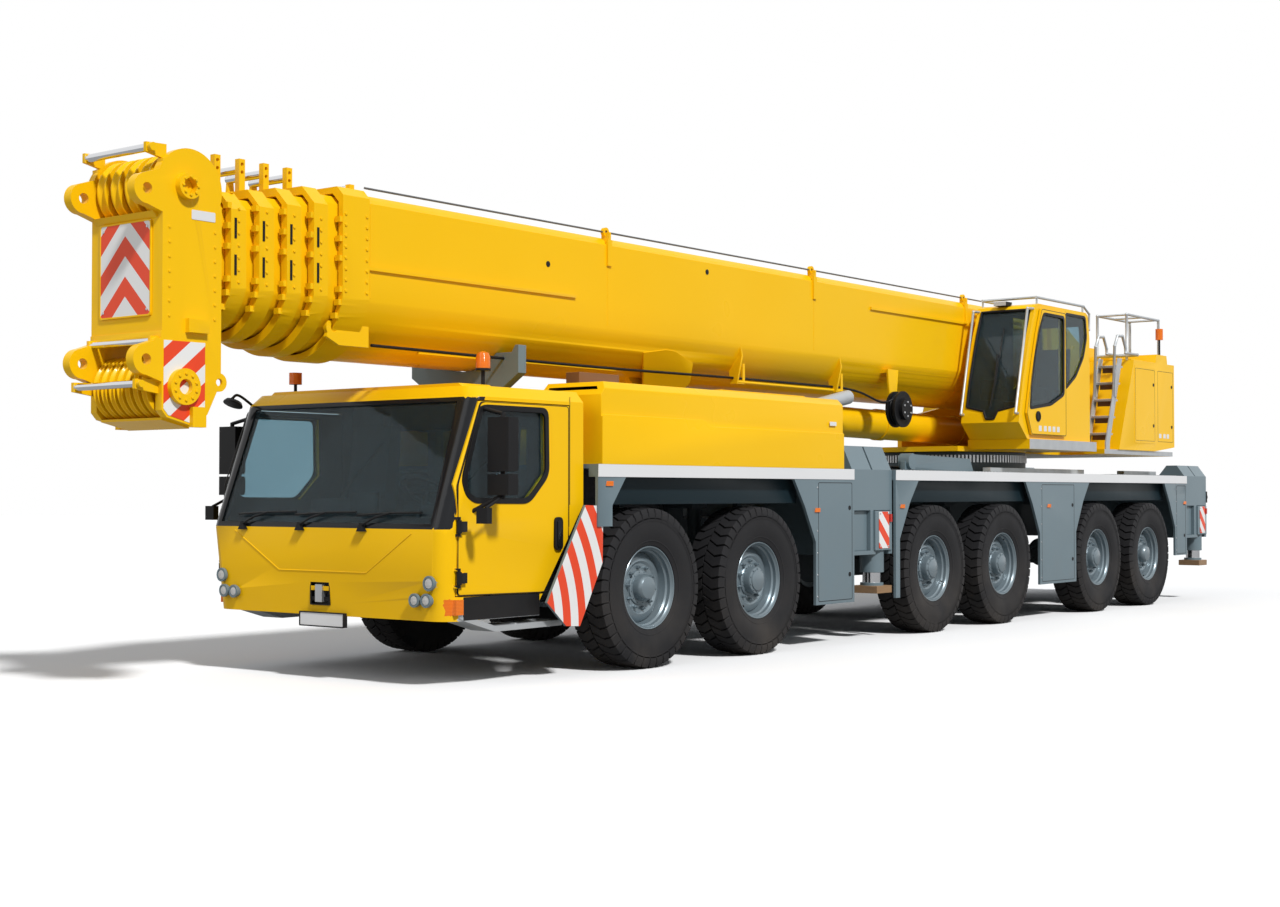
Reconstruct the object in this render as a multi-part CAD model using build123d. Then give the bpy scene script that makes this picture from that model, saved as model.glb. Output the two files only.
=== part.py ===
from build123d import *
import os
from math import cos, radians, sin

# Six-axle all-terrain mobile crane with a six-section telescopic boom, in millimetres.
# +Z is up, the front faces -Y and +X is the vehicle's left. Stations along the vehicle are
# counted from the first axle, and save() moves them to the middle of the whole length.

# ---------------------------------------------------------------- overall sizes
HALF_WIDTH = 1500                  # outer face of the tyres and side panels
BOOM_TIP_Y = -4500                 # front of the lugs on the boom head
TOW_TIP_Y = 13400                  # rear end of the tow coupling
MID_Y = (BOOM_TIP_Y + TOW_TIP_Y) / 2
RUNNING_FIT = 0.05                 # radial clearance of a shaft in its bore
SEAT_FIT = 0.4                     # gap between pieces that rest or slide on each other
MOVING_GAP = 6                     # gap beside a moving piece

# ---------------------------------------------------------------- wheels and axles
AXLE_Y = (0, 1660, 5010, 6650, 9300, 10930)
FIXED_AXLE = 4                     # this axle is not steered
TYRE_R = 687.5
TYRE_WIDTH = 385
TREAD_WIDTH = 310
BEAD_R = 355
TYRE_SIDES = 30                    # flats round the tyre, which rests on one
RIM_R = 300                        # inner radius of the rim's barrel
RIM_WIDTH = 300
DISC_OFFSET = 20                   # inboard face of the wheel disc from the tyre's middle
DISC_THICK = 25
HUB_R = 150
HUB_IN, HUB_OUT = -12, 138         # hub's faces from the tyre's middle
HUB_CAP = 16
WHEEL_STUDS, STUD_CIRCLE = 10, 182
SPINDLE_R = 60
WHEEL_X = HALF_WIDTH - TYRE_WIDTH / 2
AXLE_Z = TYRE_R
KINGPIN_X = WHEEL_X - 127.5
KINGPIN_R = 30
KNUCKLE_HALF = 145                 # half height of the knuckle between the fork's ears
KNUCKLE_DEPTH = 70                 # half depth of the knuckle along and across the vehicle
EAR_THICK = 80
FORK_HALF_Y = 85
BEAM_HALF_Y = 100
BEAM_HALF_Z = 90
BEAM_END_X = KINGPIN_X - 140
DIFF_R = 190
STRUT_OUT = 220                    # strut from the side of the frame
STRUT_R = 65

# ---------------------------------------------------------------- chassis and deck
FRAME_HALF = 500
STRUT_X = FRAME_HALF + STRUT_OUT
FRAME_BOTTOM = 950
FRAME_TOP = 1700
ENGINE_BAY_FLOOR = 1250
NOSE_BOTTOM, NOSE_TOP = 620, 930
NOSE_Y, NOSE_END_Y = -2000, -650
STRUT_BRACKET = (1350, 1450)
STAY_Y = (830, 2740)               # stays that carry the front deck
PANEL_THICK = 30
RAIL_BOTTOM, RAIL_TOP = 1630, 1735
DECK_THICK = 35
DECK_UNDER = RAIL_TOP - DECK_THICK - SEAT_FIT
ARCH_TOP = 1380                    # lower edge of the dark valance above the wheels
VALANCE_X = HALF_WIDTH - 100
ARCH_FOOT = 1020                   # height up to which the sides of a wheel arch stand upright
SKIRT_LOW, REAR_LOW = 410, 640     # lower edges of the side panels and of the rearmost one
MARKERS = ((-596, 1575), (2610, 1331), (4265, 1359), (7790, 1345), (12150, 1363))   # Y and Z of marker lamps
RAMPS = ((7120, 9770), (11070, 12200))
FRONT_BOX_Y = (3315, 4125)
REAR_BOX_Y = (12250, 13090)
BOX_BOTTOM, BOX_TOP = 870, 1735
BOX_WALL = 30
BEAM_SLOT_Y = 345                  # width of the channel that an outrigger beam slides in
BEAM_SLOT_Z = (910, 1320)
BEAM_LENGTH = 2900
JACK_R = 95
JACK_SLEEVE_R = 125
JACK_X = HALF_WIDTH - 40 - JACK_SLEEVE_R
PAD_Z = (470, 545)
PAD_HALF = 150

# ---------------------------------------------------------------- slewing and boom
SLEW_Y = 8100
SLEW_R = 950
SPIGOT_R = 700
RING_TOP = 1995
TABLE_Z = (2000, 2060)
CHEEK_X = (620, 680)
PIVOT_Y, PIVOT_Z, PIVOT_R = 10750, 3200, 90
BARREL_Y, BARREL_Z, BARREL_PIN_R = 8800, 2280, 80
EYE_Y, EYE_Z = 1800, 2360          # rod eye of the luffing cylinder
BARREL_R = 175
ROD_R = 140
EYE_R = 150
EYE_HALF = 120
EAR_X = (150, 215)                 # ears under the boom beside the rod's eye

BOOM_HALF = 550
BOOM_TOP, BOOM_BOTTOM, BOOM_SPRING = 3830, 2560, 3000
BOOM_WALL = 20
SECTION_STEP = 40                  # how much smaller each section is on every side
TELE_COUNT = 5
BOOM_FRONT_Y, BOOM_REAR_Y = -2430, 10300
BASE_COLLAR = 280
COLLAR_FRONT_Y = -2980             # front face of the first section's collar
COLLAR_PITCH = 230
COLLAR_LENGTH = 140
COLLAR_OUT = 45
COLLAR_CORNER = 140                # sloping shoulder of a collar
FIN_TOP = BOOM_TOP + 170            # top of the fins and lug posts over the boom
FIN_X = (180, 230)
TAB_Z = (2860, 2960, 3060, 3300, 3450, 3600)   # heights of the tabs on a collar's front edge
BOOM_CORNER = 70
TELE_REAR_Y = 9700
SIDE_RIBS = (((BOOM_FRONT_Y, 90), (3235, 3268)), ((5235, 7510), (3553, 3585)))
PIPE_BRACKETS = (2690, 4590)
ROPE_LUGS = (570, 4066, 7513)
HOSE_DRUM = (5650, 2445)           # Y and Z of its middle
HEAD_X = (345, 415)
HEAD_FRONT_Y, HEAD_REAR_Y = -4260, -3740
UPPER_AXLE = (-4060, 3685)         # Y and Z of the upper sheaves' shaft
LOWER_AXLE = (-4084, 2250)
UPPER_SHEAVE_R, LOWER_SHEAVE_R = 245, 235
HEAD_ARCH_R = 285                  # round top of the head plates
LUG_R = 110
UPPER_LUG_Z, LOWER_LUG_Z = 3630, 2430
HEAD_ROLLERS = ((-4340, 3930, 30, 34), (-4300, 2567, 24, 28), (-4425, 2258, 26, 30))   # Y, Z, radius, reach
SHEAVE_SHAFT_R = 55

# ---------------------------------------------------------------- carrier cab
CAB_HALF = HALF_WIDTH - 125
CAB_WALL = 60
CAB_FLOOR = 980
CAB_REAR_Y = -780
DOOR_GAP = 8
CAB_DOOR_HINGE = (CAB_HALF + 22, -2271)   # X and Y of the left door's vertical hinge
DOOR_HINGE_Z = (850, 1240)
HINGE_PIN_R = 12

# ---------------------------------------------------------------- crane cab
CRANE_CAB_X = (CHEEK_X[1] + 20, HALF_WIDTH - 50)
CRANE_CAB_WALL = 45
CRANE_CAB_REAR_Y, CRANE_CAB_FLOOR_Z = 9110, 2140
SLIDING_SKIN = (CRANE_CAB_X[1] + 7, CRANE_CAB_X[1] + 37)
TILT_PIN = (CRANE_CAB_REAR_Y + 50, CRANE_CAB_FLOOR_Z + 50)   # Y and Z of the pin behind the floor that the cab tilts on
TILT_PIN_R, TILT_EYE_R = 20, 38
HANDRAIL_R = 18
LADDER_STEPS = 5
RACK_Z = 3880                      # rail frame above the engine housing
TILT_EYE_X = ((CRANE_CAB_X[0] + 80, CRANE_CAB_X[0] + 140), (CRANE_CAB_X[1] - 140, CRANE_CAB_X[1] - 80))


# ---------------------------------------------------------------- helpers
def block(xs, ys, zs):
    """A box between a low and a high value on each axis."""
    size = (xs[1] - xs[0], ys[1] - ys[0], zs[1] - zs[0])
    centre = ((xs[0] + xs[1]) / 2, (ys[0] + ys[1]) / 2, (zs[0] + zs[1]) / 2)
    return Pos(*centre) * Box(*size)


def prism(points, direction):
    """A straight prism over the polygon through the points."""
    return Solid.extrude(Face(Wire.make_polygon(points, close=True)), Vector(*direction))


def side_prism(outline, xs):
    """A prism across the vehicle over an outline of (y, z) points."""
    return prism([(xs[0], y, z) for y, z in outline], (xs[1] - xs[0], 0, 0))


def front_prism(outline, ys):
    """A prism along the vehicle over an outline of (x, z) points."""
    return prism([(x, ys[0], z) for x, z in outline], (0, ys[1] - ys[0], 0))


def eye(y, z, outer, hole, xs):
    """A round eye across the vehicle, with its hole open."""
    return rod_x(y, z, outer, xs) - rod_x(y, z, hole, (xs[0] - 1, xs[1] + 1))


def rod_x(y, z, r, xs):
    """A round bar across the vehicle."""
    return Solid.make_cylinder(r, xs[1] - xs[0], Plane((xs[0], y, z), z_dir=(1, 0, 0)))


def rod_y(x, z, r, ys):
    """A round bar along the vehicle."""
    return Solid.make_cylinder(r, ys[1] - ys[0], Plane((x, ys[0], z), z_dir=(0, 1, 0)))


def rod_z(x, y, r, zs):
    """An upright round bar."""
    return Solid.make_cylinder(r, zs[1] - zs[0], Plane((x, y, zs[0])))


def bar(start, end, r):
    """A round bar between two points."""
    run = Vector(*end) - Vector(*start)
    return Solid.make_cylinder(r, run.length, Plane(start, z_dir=run.normalized()))


def rail(points, r):
    """A round rail along the points, with a ball at every bend."""
    pieces = [bar(start, end, r) for start, end in zip(points, points[1:])]
    pieces += [Sphere(r + 3).moved(Location(point)) for point in points[1:-1]]
    return fused(pieces)


def twin(shape):
    """The piece and its mirror image on the vehicle's other side."""
    return shape + mirror(shape, about=Plane.YZ)


def fused(pieces):
    """All the pieces as one shape."""
    whole = pieces[0]
    for piece in pieces[1:]:
        whole = whole + piece
    return whole


def save(name, shape):
    """Write one node, with the vehicle's middle at Y = 0."""
    solids = [solid.moved(Location((0, -MID_Y, 0))) for solid in shape.solids()]
    whole = solids[0] if len(solids) == 1 else Compound(solids)
    export_step(whole, f"parts/{name}.step")


# ---------------------------------------------------------------- wheels
def flat_ring(x, radius):
    """Polygon round the X axis with a flat at its foot, a radius away from the axis."""
    corner = radius / cos(radians(180 / TYRE_SIDES))
    turns = [radians(360 * (number + 0.5) / TYRE_SIDES) for number in range(TYRE_SIDES)]
    return Wire.make_polygon([(x, corner * sin(turn), -corner * cos(turn)) for turn in turns], close=True)


def tyre():
    """Tyre about the X axis, in flats, with its middle at X = 0."""
    half, tread, bead = TYRE_WIDTH / 2, TREAD_WIDTH / 2, RIM_WIDTH / 2
    bands = [(bead, BEAD_R), (half, TYRE_R - 150), (half - 12, TYRE_R - 40), (tread, TYRE_R)]
    rings = [flat_ring(-x, radius) for x, radius in bands] + [flat_ring(x, radius) for x, radius in bands[::-1]]
    return Solid.make_loft(rings, ruled=True) - rod_x(0, 0, BEAD_R - 15, (-half, half))


def rim():
    """Rim, disc and hub with a stepped cap, turned about the X axis."""
    half = RIM_WIDTH / 2
    disc_out = DISC_OFFSET + DISC_THICK
    bore = SPINDLE_R + RUNNING_FIT
    profile = [                    # distance from the tyre's middle plane, radius
        (HUB_IN, bore), (HUB_IN, HUB_R), (DISC_OFFSET, HUB_R), (DISC_OFFSET, RIM_R),
        (-half, RIM_R), (-half, BEAD_R - 14), (half - 60, BEAD_R - 14), (half - 6, BEAD_R), (half + 2, BEAD_R),
        (half, BEAD_R - 20), (half - 40, RIM_R + 14), (disc_out, RIM_R), (disc_out, HUB_R),
        (HUB_OUT - 60, HUB_R - 4), (HUB_OUT - 60, HUB_R - 28), (HUB_OUT, HUB_R - 30),
        (HUB_OUT + HUB_CAP, HUB_R - 55), (HUB_OUT + HUB_CAP, 0), (HUB_OUT, 0), (HUB_OUT, bore),
    ]
    face = Face(Wire.make_polygon([(x, 0, r) for x, r in profile], close=True))
    turned = Solid.revolve(face, 360, Axis.X)
    for number in range(WHEEL_STUDS):
        turn = radians(360 * number / WHEEL_STUDS)
        y, z = STUD_CIRCLE * cos(turn), STUD_CIRCLE * sin(turn)
        turned = turned + rod_x(y, z, 13, (disc_out - 2, disc_out + 26))
    return turned


def wheel():
    """Left wheel about the X axis, its tyre fused to its rim."""
    return tyre() + rim()


def spindle(y):
    """Flange and spindle that carry the left wheel's hub."""
    flange = rod_x(y, AXLE_Z, HUB_R - 10, (KINGPIN_X + KNUCKLE_DEPTH - 10, WHEEL_X + HUB_IN - MOVING_GAP))
    shaft = rod_x(y, AXLE_Z, SPINDLE_R, (KINGPIN_X, WHEEL_X + HUB_OUT - 2))
    return flange + shaft


def knuckle(y):
    """Left steering knuckle with its kingpin, spindle and steering arm."""
    body = block((KINGPIN_X - KNUCKLE_DEPTH, KINGPIN_X + KNUCKLE_DEPTH),
                 (y - KNUCKLE_DEPTH, y + KNUCKLE_DEPTH),
                 (AXLE_Z - KNUCKLE_HALF, AXLE_Z + KNUCKLE_HALF))
    reach = KNUCKLE_HALF + MOVING_GAP + EAR_THICK
    kingpin = rod_z(KINGPIN_X, y, KINGPIN_R, (AXLE_Z - reach, AXLE_Z + reach))
    return body + kingpin + spindle(y)


def axle_beam(y, steered):
    """One axle: beam, differential, forks or fixed ends, and the two suspension struts."""
    beam = block((-BEAM_END_X, BEAM_END_X), (y - BEAM_HALF_Y, y + BEAM_HALF_Y),
                 (AXLE_Z - BEAM_HALF_Z, AXLE_Z + BEAM_HALF_Z))
    differential = rod_y(0, AXLE_Z, DIFF_R, (y - DIFF_R, y + DIFF_R))
    strut = rod_z(STRUT_X, y, STRUT_R, (AXLE_Z, STRUT_BRACKET[0]))
    ear_low = KNUCKLE_HALF + MOVING_GAP
    web_x = (BEAM_END_X - 80, BEAM_END_X)
    ys = (y - FORK_HALF_Y, y + FORK_HALF_Y)
    if steered:
        web = block(web_x, ys, (AXLE_Z - ear_low - EAR_THICK, AXLE_Z + ear_low + EAR_THICK))
        bore = rod_z(KINGPIN_X, y, KINGPIN_R + RUNNING_FIT, (0, 2 * AXLE_Z))
        end = web
        for low in (AXLE_Z + ear_low, AXLE_Z - ear_low - EAR_THICK):
            end = end + block((web_x[0], KINGPIN_X + 60), ys, (low, low + EAR_THICK))
        end = end - bore
    else:
        end = block((web_x[0], KINGPIN_X + KNUCKLE_DEPTH), ys,
                    (AXLE_Z - KNUCKLE_HALF, AXLE_Z + KNUCKLE_HALF)) + spindle(y)
    return beam + differential + twin(strut) + twin(end)


# ---------------------------------------------------------------- chassis
def beam_channels(box_y):
    """Y ranges of the right beam's and the left beam's channels in an outrigger box."""
    low = box_y[0] + BOX_WALL
    high = box_y[1] - BOX_WALL
    return (low, low + BEAM_SLOT_Y), (high - BEAM_SLOT_Y, high)


def outrigger_box(box_y, edge):
    """Cross box for two outrigger beams, with a raised sloping head at each side."""
    middle = block((-HALF_WIDTH + 40, HALF_WIDTH - 40), box_y, (BOX_BOTTOM, BOX_TOP))
    heads = []
    half = (box_y[1] - box_y[0]) / 2
    for low in (box_y[0], box_y[0] + half):
        outline = [(HALF_WIDTH - 420, BOX_TOP), (HALF_WIDTH - 300, BOX_TOP + edge),
                   (HALF_WIDTH - 150, BOX_TOP + edge), (HALF_WIDTH - 40, BOX_TOP)]
        heads.append(twin(front_prism(outline, (low + 15, low + half - 15))))
    whole = fused([middle] + heads)
    return whole


def beam_openings(box_y):
    """Channels of both outrigger beams and the slots below them for the jacks' sleeves."""
    cuts = []
    reach = JACK_SLEEVE_R + MOVING_GAP
    for side, ys in zip((-1, 1), beam_channels(box_y)):
        cuts.append(block((-HALF_WIDTH, HALF_WIDTH), ys, BEAM_SLOT_Z))
        middle = (ys[0] + ys[1]) / 2
        xs = sorted((side * (JACK_X - reach), side * HALF_WIDTH))
        cuts.append(block(xs, (middle - reach, middle + reach), (BOX_BOTTOM - 10, BEAM_SLOT_Z[0] + 10)))
    return cuts


def deck_stay(y):
    """Post and arms on the engine bay's floor that carry the front deck."""
    post = block((FRAME_HALF - 60, FRAME_HALF), (y - 40, y + 40), (ENGINE_BAY_FLOOR - 10, DECK_UNDER))
    arm = block((FRAME_HALF - 60, VALANCE_X - 40), (y - 40, y + 40), (DECK_UNDER - 100, DECK_UNDER))
    return twin(post + arm)


def chassis_frame():
    """Box girder from nose to tail with strut brackets and both outrigger boxes."""
    girder_end = REAR_BOX_Y[1] - 100
    outline = [(NOSE_Y, NOSE_BOTTOM), (NOSE_Y, NOSE_TOP), (NOSE_END_Y, NOSE_TOP),
               (NOSE_END_Y + 150, ENGINE_BAY_FLOOR), (FRONT_BOX_Y[0], ENGINE_BAY_FLOOR),
               (FRONT_BOX_Y[0], FRAME_TOP), (girder_end, FRAME_TOP), (girder_end, FRAME_BOTTOM),
               (NOSE_END_Y + 150, FRAME_BOTTOM), (NOSE_END_Y, NOSE_BOTTOM)]
    whole = side_prism(outline, (-FRAME_HALF, FRAME_HALF))
    for y in AXLE_Y:
        bracket = block((FRAME_HALF - 10, STRUT_X + STRUT_R), (y - 120, y + 120), STRUT_BRACKET)
        post = block((FRAME_HALF - 50, FRAME_HALF), (y - 120, y + 120), (ENGINE_BAY_FLOOR - 10, STRUT_BRACKET[1]))
        whole = whole + twin(bracket + post)
    for y in STAY_Y:
        whole = whole + deck_stay(y)
    whole = whole + outrigger_box(FRONT_BOX_Y, 240) + outrigger_box(REAR_BOX_Y, 150)
    for box_y in (FRONT_BOX_Y, REAR_BOX_Y):
        for cut in beam_openings(box_y):
            whole = whole - cut
    tow = block((-90, 90), (REAR_BOX_Y[1] - 10, TOW_TIP_Y), (960, 1140))
    jaw = block((-100, 100), (TOW_TIP_Y - 190, TOW_TIP_Y + 10), (1020, 1080))
    pin_hole = rod_z(0, TOW_TIP_Y - 90, 25, (900, 1200))
    return whole + (tow - jaw - pin_hole)


def arch(start, end, low=SKIRT_LOW):
    """Outline of a skirt's cut-out for two wheels, from the lower edge at its rear to that at its front."""
    top = RAIL_BOTTOM - 2
    return [(end, low), (end, ARCH_FOOT), (end - 195, ARCH_FOOT + 348), (end - 380, top),
            (start + 400, top), (start + 210, ARCH_FOOT + 370), (start, ARCH_FOOT), (start, SKIRT_LOW)]


def fender_deck():
    """Left half of the deck: side rail, skirts with their arches, valances and deck plates."""
    side = (HALF_WIDTH - PANEL_THICK, HALF_WIDTH)
    front_ys = (CAB_REAR_Y + 40, FRONT_BOX_Y[0] - 10)
    rear_ys = (FRONT_BOX_Y[1] + 10, REAR_BOX_Y[0] - 10)
    front = [(front_ys[0], 1220), (front_ys[0], RAIL_TOP), (front_ys[1], RAIL_TOP), (front_ys[1], SKIRT_LOW)]
    front += arch(front_ys[0], front_ys[1] - 714)[:4] + [(-367, RAIL_BOTTOM + 2), (-551, 1393), (-551, 1220)]
    rear = [(rear_ys[0], SKIRT_LOW), (rear_ys[0], RAIL_TOP), (rear_ys[1], RAIL_TOP), (rear_ys[1], REAR_LOW)]
    rear += arch(8570, rear_ys[1] - 429, REAR_LOW) + arch(rear_ys[0] + 85, 7553)
    guard = [(-880, 1398), (-654, 1389), (-661, 924), (-951, 417), (-1124, 427), (-1358, 626)]
    pieces = [side_prism(front, side), side_prism(rear, side), side_prism(guard, (side[0] - 10, side[0] + 15))]
    deck_z = (RAIL_TOP - DECK_THICK, RAIL_TOP)
    for ys in (front_ys, rear_ys):
        pieces.append(block((FRAME_HALF + SEAT_FIT, side[1]), ys, deck_z))
        pieces.append(block((VALANCE_X, side[1]), ys, (RAIL_BOTTOM, RAIL_TOP)))
        pieces.append(block((side[1] - 5, side[1] + 5), ys, (RAIL_BOTTOM, RAIL_TOP)))
    for ys in ((-551, front_ys[1] - 905), (rear_ys[0] + 319, 7357), (8732, rear_ys[1] - 621)):
        pieces.append(block((VALANCE_X - 20, VALANCE_X), ys, (ARCH_TOP + 20, RAIL_TOP)))
    for y, z in MARKERS:
        pieces.append(block((side[1] - 5, side[1] + 12), (y - 45, y + 45), (z - 20, z + 20)))
    for ys in RAMPS:
        pieces.append(block((SLEW_R + 25, SLEW_R + 125), ys, (RAIL_TOP - 5, RAIL_TOP + 65)))
    arm = [(5360, RAIL_TOP - 5), (5360, 1850), (5600, 1930), (6900, 1900), (7000, RAIL_TOP - 5)]
    pieces.append(side_prism(arm, (860, 920)))
    pieces.append(rod_x(5460, 1850, 90, (820, 960)))
    return fused(pieces)


# ---------------------------------------------------------------- outriggers
def outrigger_beam(box_y, left):
    """Outrigger beam with the jack's sleeve at its outer end, drawn in."""
    channel = beam_channels(box_y)[1 if left else 0]
    ys = (channel[0] + MOVING_GAP, channel[1] - MOVING_GAP)
    zs = (BEAM_SLOT_Z[0] + SEAT_FIT, BEAM_SLOT_Z[1] - MOVING_GAP)
    middle = (ys[0] + ys[1]) / 2
    tip = HALF_WIDTH - 20
    beam = block((tip - BEAM_LENGTH, tip), ys, zs)
    sleeve = rod_z(JACK_X, middle, JACK_SLEEVE_R, (zs[0] - 230, zs[0] + 20))
    bore = rod_z(JACK_X, middle, JACK_R + RUNNING_FIT, (zs[0] - 300, zs[1] - 40))
    return (beam + sleeve) - bore if left else mirror((beam + sleeve) - bore, about=Plane.YZ)


def outrigger_jack(box_y, left):
    """Jack rod with its foot and timber pad."""
    channel = beam_channels(box_y)[1 if left else 0]
    middle = (channel[0] + channel[1]) / 2
    x = JACK_X
    rod = rod_z(x, middle, JACK_R, (PAD_Z[1], BEAM_SLOT_Z[1] - 60))
    foot = rod_z(x, middle, JACK_R + 25, (PAD_Z[1], PAD_Z[1] + 30))
    pad = block((x - PAD_HALF, x + PAD_HALF), (middle - PAD_HALF, middle + PAD_HALF), PAD_Z)
    whole = rod + foot + pad
    return whole if left else mirror(whole, about=Plane.YZ)


# ---------------------------------------------------------------- carrier cab
CAB_FOOT, CAB_BELT, CAB_BROW, CAB_ROOF = 520, 1220, 2240, 2330
CAB_SECTIONS = (                   # height, side and front corner from CAB_HALF, corner Y, front Y
    (CAB_FOOT, 15, 175, -2215, -2360),
    (CAB_BELT, 0, 120, -2290, -2420),
    (CAB_BROW, 0, 150, -1940, -2065),
    (CAB_ROOF, 80, 230, -1890, -2000),
)
CORNER_BULGE = 0.17                # how far a corner's arc stands out from its chord
CAB_REACH = CAB_HALF + 125         # half width that is sure to pass the cab's sides
CAB_TAIL = [(-2400, 300), (-1310, 300), (-1310, 640), (-780, 1400), (-600, 1400), (-600, 200), (-2400, 200)]
DOOR_OUTLINE = [(-2265, 715), (-1290, 700), (-1130, 720), (-965, 1060), (-965, 2205), (-2010, 2205), (-2265, 1560)]
SIDE_WINDOW = [(-2185, 1600), (-2165, 1500), (-2080, 1445), (-1463, 1440), (-1240, 1650), (-1250, 2150),
               (-2000, 2150)]
SCREEN_LOW, SCREEN_TOP = 1262, 2205
SCREEN_IN = (150, 190)             # glass from CAB_HALF at its lower and its upper edge
LAMPS = ((1215, 811, 46), (1185, 680, 42), (1060, 678, 42))    # X, Z and radius of the left front lamps


def cab_section(half, half_front, corner_y, front_y, z, inset):
    """Outline of the cab at one height: straight front, sides and back, with round front corners."""
    corners = []
    for side in (1, -1):
        start = Vector(side * (half_front - inset), front_y + inset, z)
        end = Vector(side * (half - inset), corner_y + inset, z)
        out = Vector(side * (start.Y - end.Y) * -1, -abs(end.X - start.X), 0).normalized()
        middle = (start + end) * 0.5 + out * ((end - start).length * CORNER_BULGE)
        corners.append((start, middle, end))
    (right_start, right_middle, right_end), (left_start, left_middle, left_end) = corners
    back_y = CAB_REAR_Y - inset
    right_back = Vector(half - inset, back_y, z)
    left_back = Vector(inset - half, back_y, z)
    return Wire([
        Edge.make_line(left_start, right_start), Edge.make_three_point_arc(right_start, right_middle, right_end),
        Edge.make_line(right_end, right_back), Edge.make_line(right_back, left_back),
        Edge.make_line(left_back, left_end), Edge.make_three_point_arc(left_end, left_middle, left_start)])


def cab_form(inset, low, high):
    """Body of the carrier cab drawn in by a distance, between two heights."""
    sections = [cab_section(CAB_HALF - side, CAB_HALF - front, corner_y, front_y, z, inset)
                for z, side, front, corner_y, front_y in CAB_SECTIONS]
    form = Solid.make_loft(sections, ruled=True)
    return form & block((-CAB_REACH, CAB_REACH), (-3000, 0), (low, high))


def cab_walls():
    """Hollow cab with its floor, before doors and windows are cut."""
    reach = (-CAB_REACH, CAB_REACH)
    outer = cab_form(0, CAB_FOOT, CAB_ROOF) - side_prism(CAB_TAIL, reach)
    room = cab_form(CAB_WALL, CAB_FLOOR, CAB_ROOF - CAB_WALL)
    lower_rear = [(-2600, 900), (-1200, 900), (-800, 1480), (-800, 2400), (-2600, 2400)]
    room = room & side_prism(lower_rear, reach)
    under = cab_form(CAB_WALL, CAB_FOOT, CAB_FLOOR - 50)
    return outer - room - under


def window_cutters():
    """Openings for the windscreen, the doors' windows and the rear window."""
    low, top = CAB_HALF - SCREEN_IN[0], CAB_HALF - SCREEN_IN[1]
    outline = [(-low, SCREEN_LOW), (low, SCREEN_LOW), (top, SCREEN_TOP), (-top, SCREEN_TOP)]
    screen = front_prism(outline, (-2700, -1780))
    sides = side_prism(SIDE_WINDOW, (-CAB_REACH, CAB_REACH))
    rear = block((-800, 800), (CAB_REAR_Y - 120, CAB_REAR_Y + 80), (1560, 2050))
    return screen, sides, rear


def grown(outline, gap):
    """The outline moved out by a gap."""
    face = Face(Wire.make_polygon([(y, z, 0) for y, z in outline], close=True))
    corners = offset(face, amount=gap, kind=Kind.INTERSECTION).face().outer_wire().order_edges()
    return [(edge.position_at(0).X, edge.position_at(0).Y) for edge in corners]


def cab_shell(walls):
    """Cab body with its windows and both door openings cut, its steps, lamps and hitch."""
    screen, _, rear = window_cutters()
    doorway = side_prism(grown(DOOR_OUTLINE, DOOR_GAP), (CAB_HALF - CAB_WALL - 60, CAB_HALF + 60))
    shell = walls - screen - rear - twin(doorway)
    x, y = CAB_DOOR_HINGE
    hinges = []
    for z in DOOR_HINGE_Z:
        hinges.append(rod_z(x, y, HINGE_PIN_R, (z - 75, z + 75)))
        for low in (z - 75, z + 55):
            hinges.append(block((x - 60, x + 5), (y - 20, y + 4), (low, low + 20)))
    step = [(-2235, 545), (-2180, 520), (-1835, 420), (-1040, 425), (-1040, 470), (-1835, 465), (-2150, 560)]
    details = twin(fused(hinges) + side_prism(step, (CAB_HALF - 260, CAB_HALF - 10))) + cab_face_details()
    return shell + details - hitch_recess()


def cab_face_details():
    """Lamps, corner indicators, blank plate, roof ledge and beacon of the cab."""
    pieces = []
    for x, z, radius in LAMPS:
        pieces.append(twin(rod_y(x, z, radius, (-2412, -2330))))
    pieces.append(twin(block((CAB_HALF - 70, CAB_HALF + 6), (-2285, -2205), (570, 686))))
    pieces.append(block((-260, 260), (-2392, -2355), (430, 545)))
    pieces.append(front_prism([(-CAB_HALF + 240, CAB_ROOF - 5), (CAB_HALF - 240, CAB_ROOF - 5),
                               (CAB_HALF - 290, CAB_ROOF + 28), (290 - CAB_HALF, CAB_ROOF + 28)], (-1960, -1600)))
    pieces.append(rod_z(-1000, -1800, 14, (CAB_ROOF, CAB_ROOF + 120)))
    pieces.append(rod_z(-1000, -1800, 55, (CAB_ROOF + 100, CAB_ROOF + 200)))
    return fused(pieces)


def hitch_recess():
    """Space of the recess in the front panel, around its two pins."""
    pocket = block((-145, 75), (-2450, -2345), (605, 783))
    return pocket - rod_x(-2375, 735, 18, (-160, 90)) - rod_x(-2375, 650, 18, (-160, 90))


MIRROR_X = (CAB_HALF + 110, CAB_HALF + 325)
MIRROR_CASES = ((1479, 1640), (1660, 2074))    # heights of the lower and the upper mirror


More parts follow.
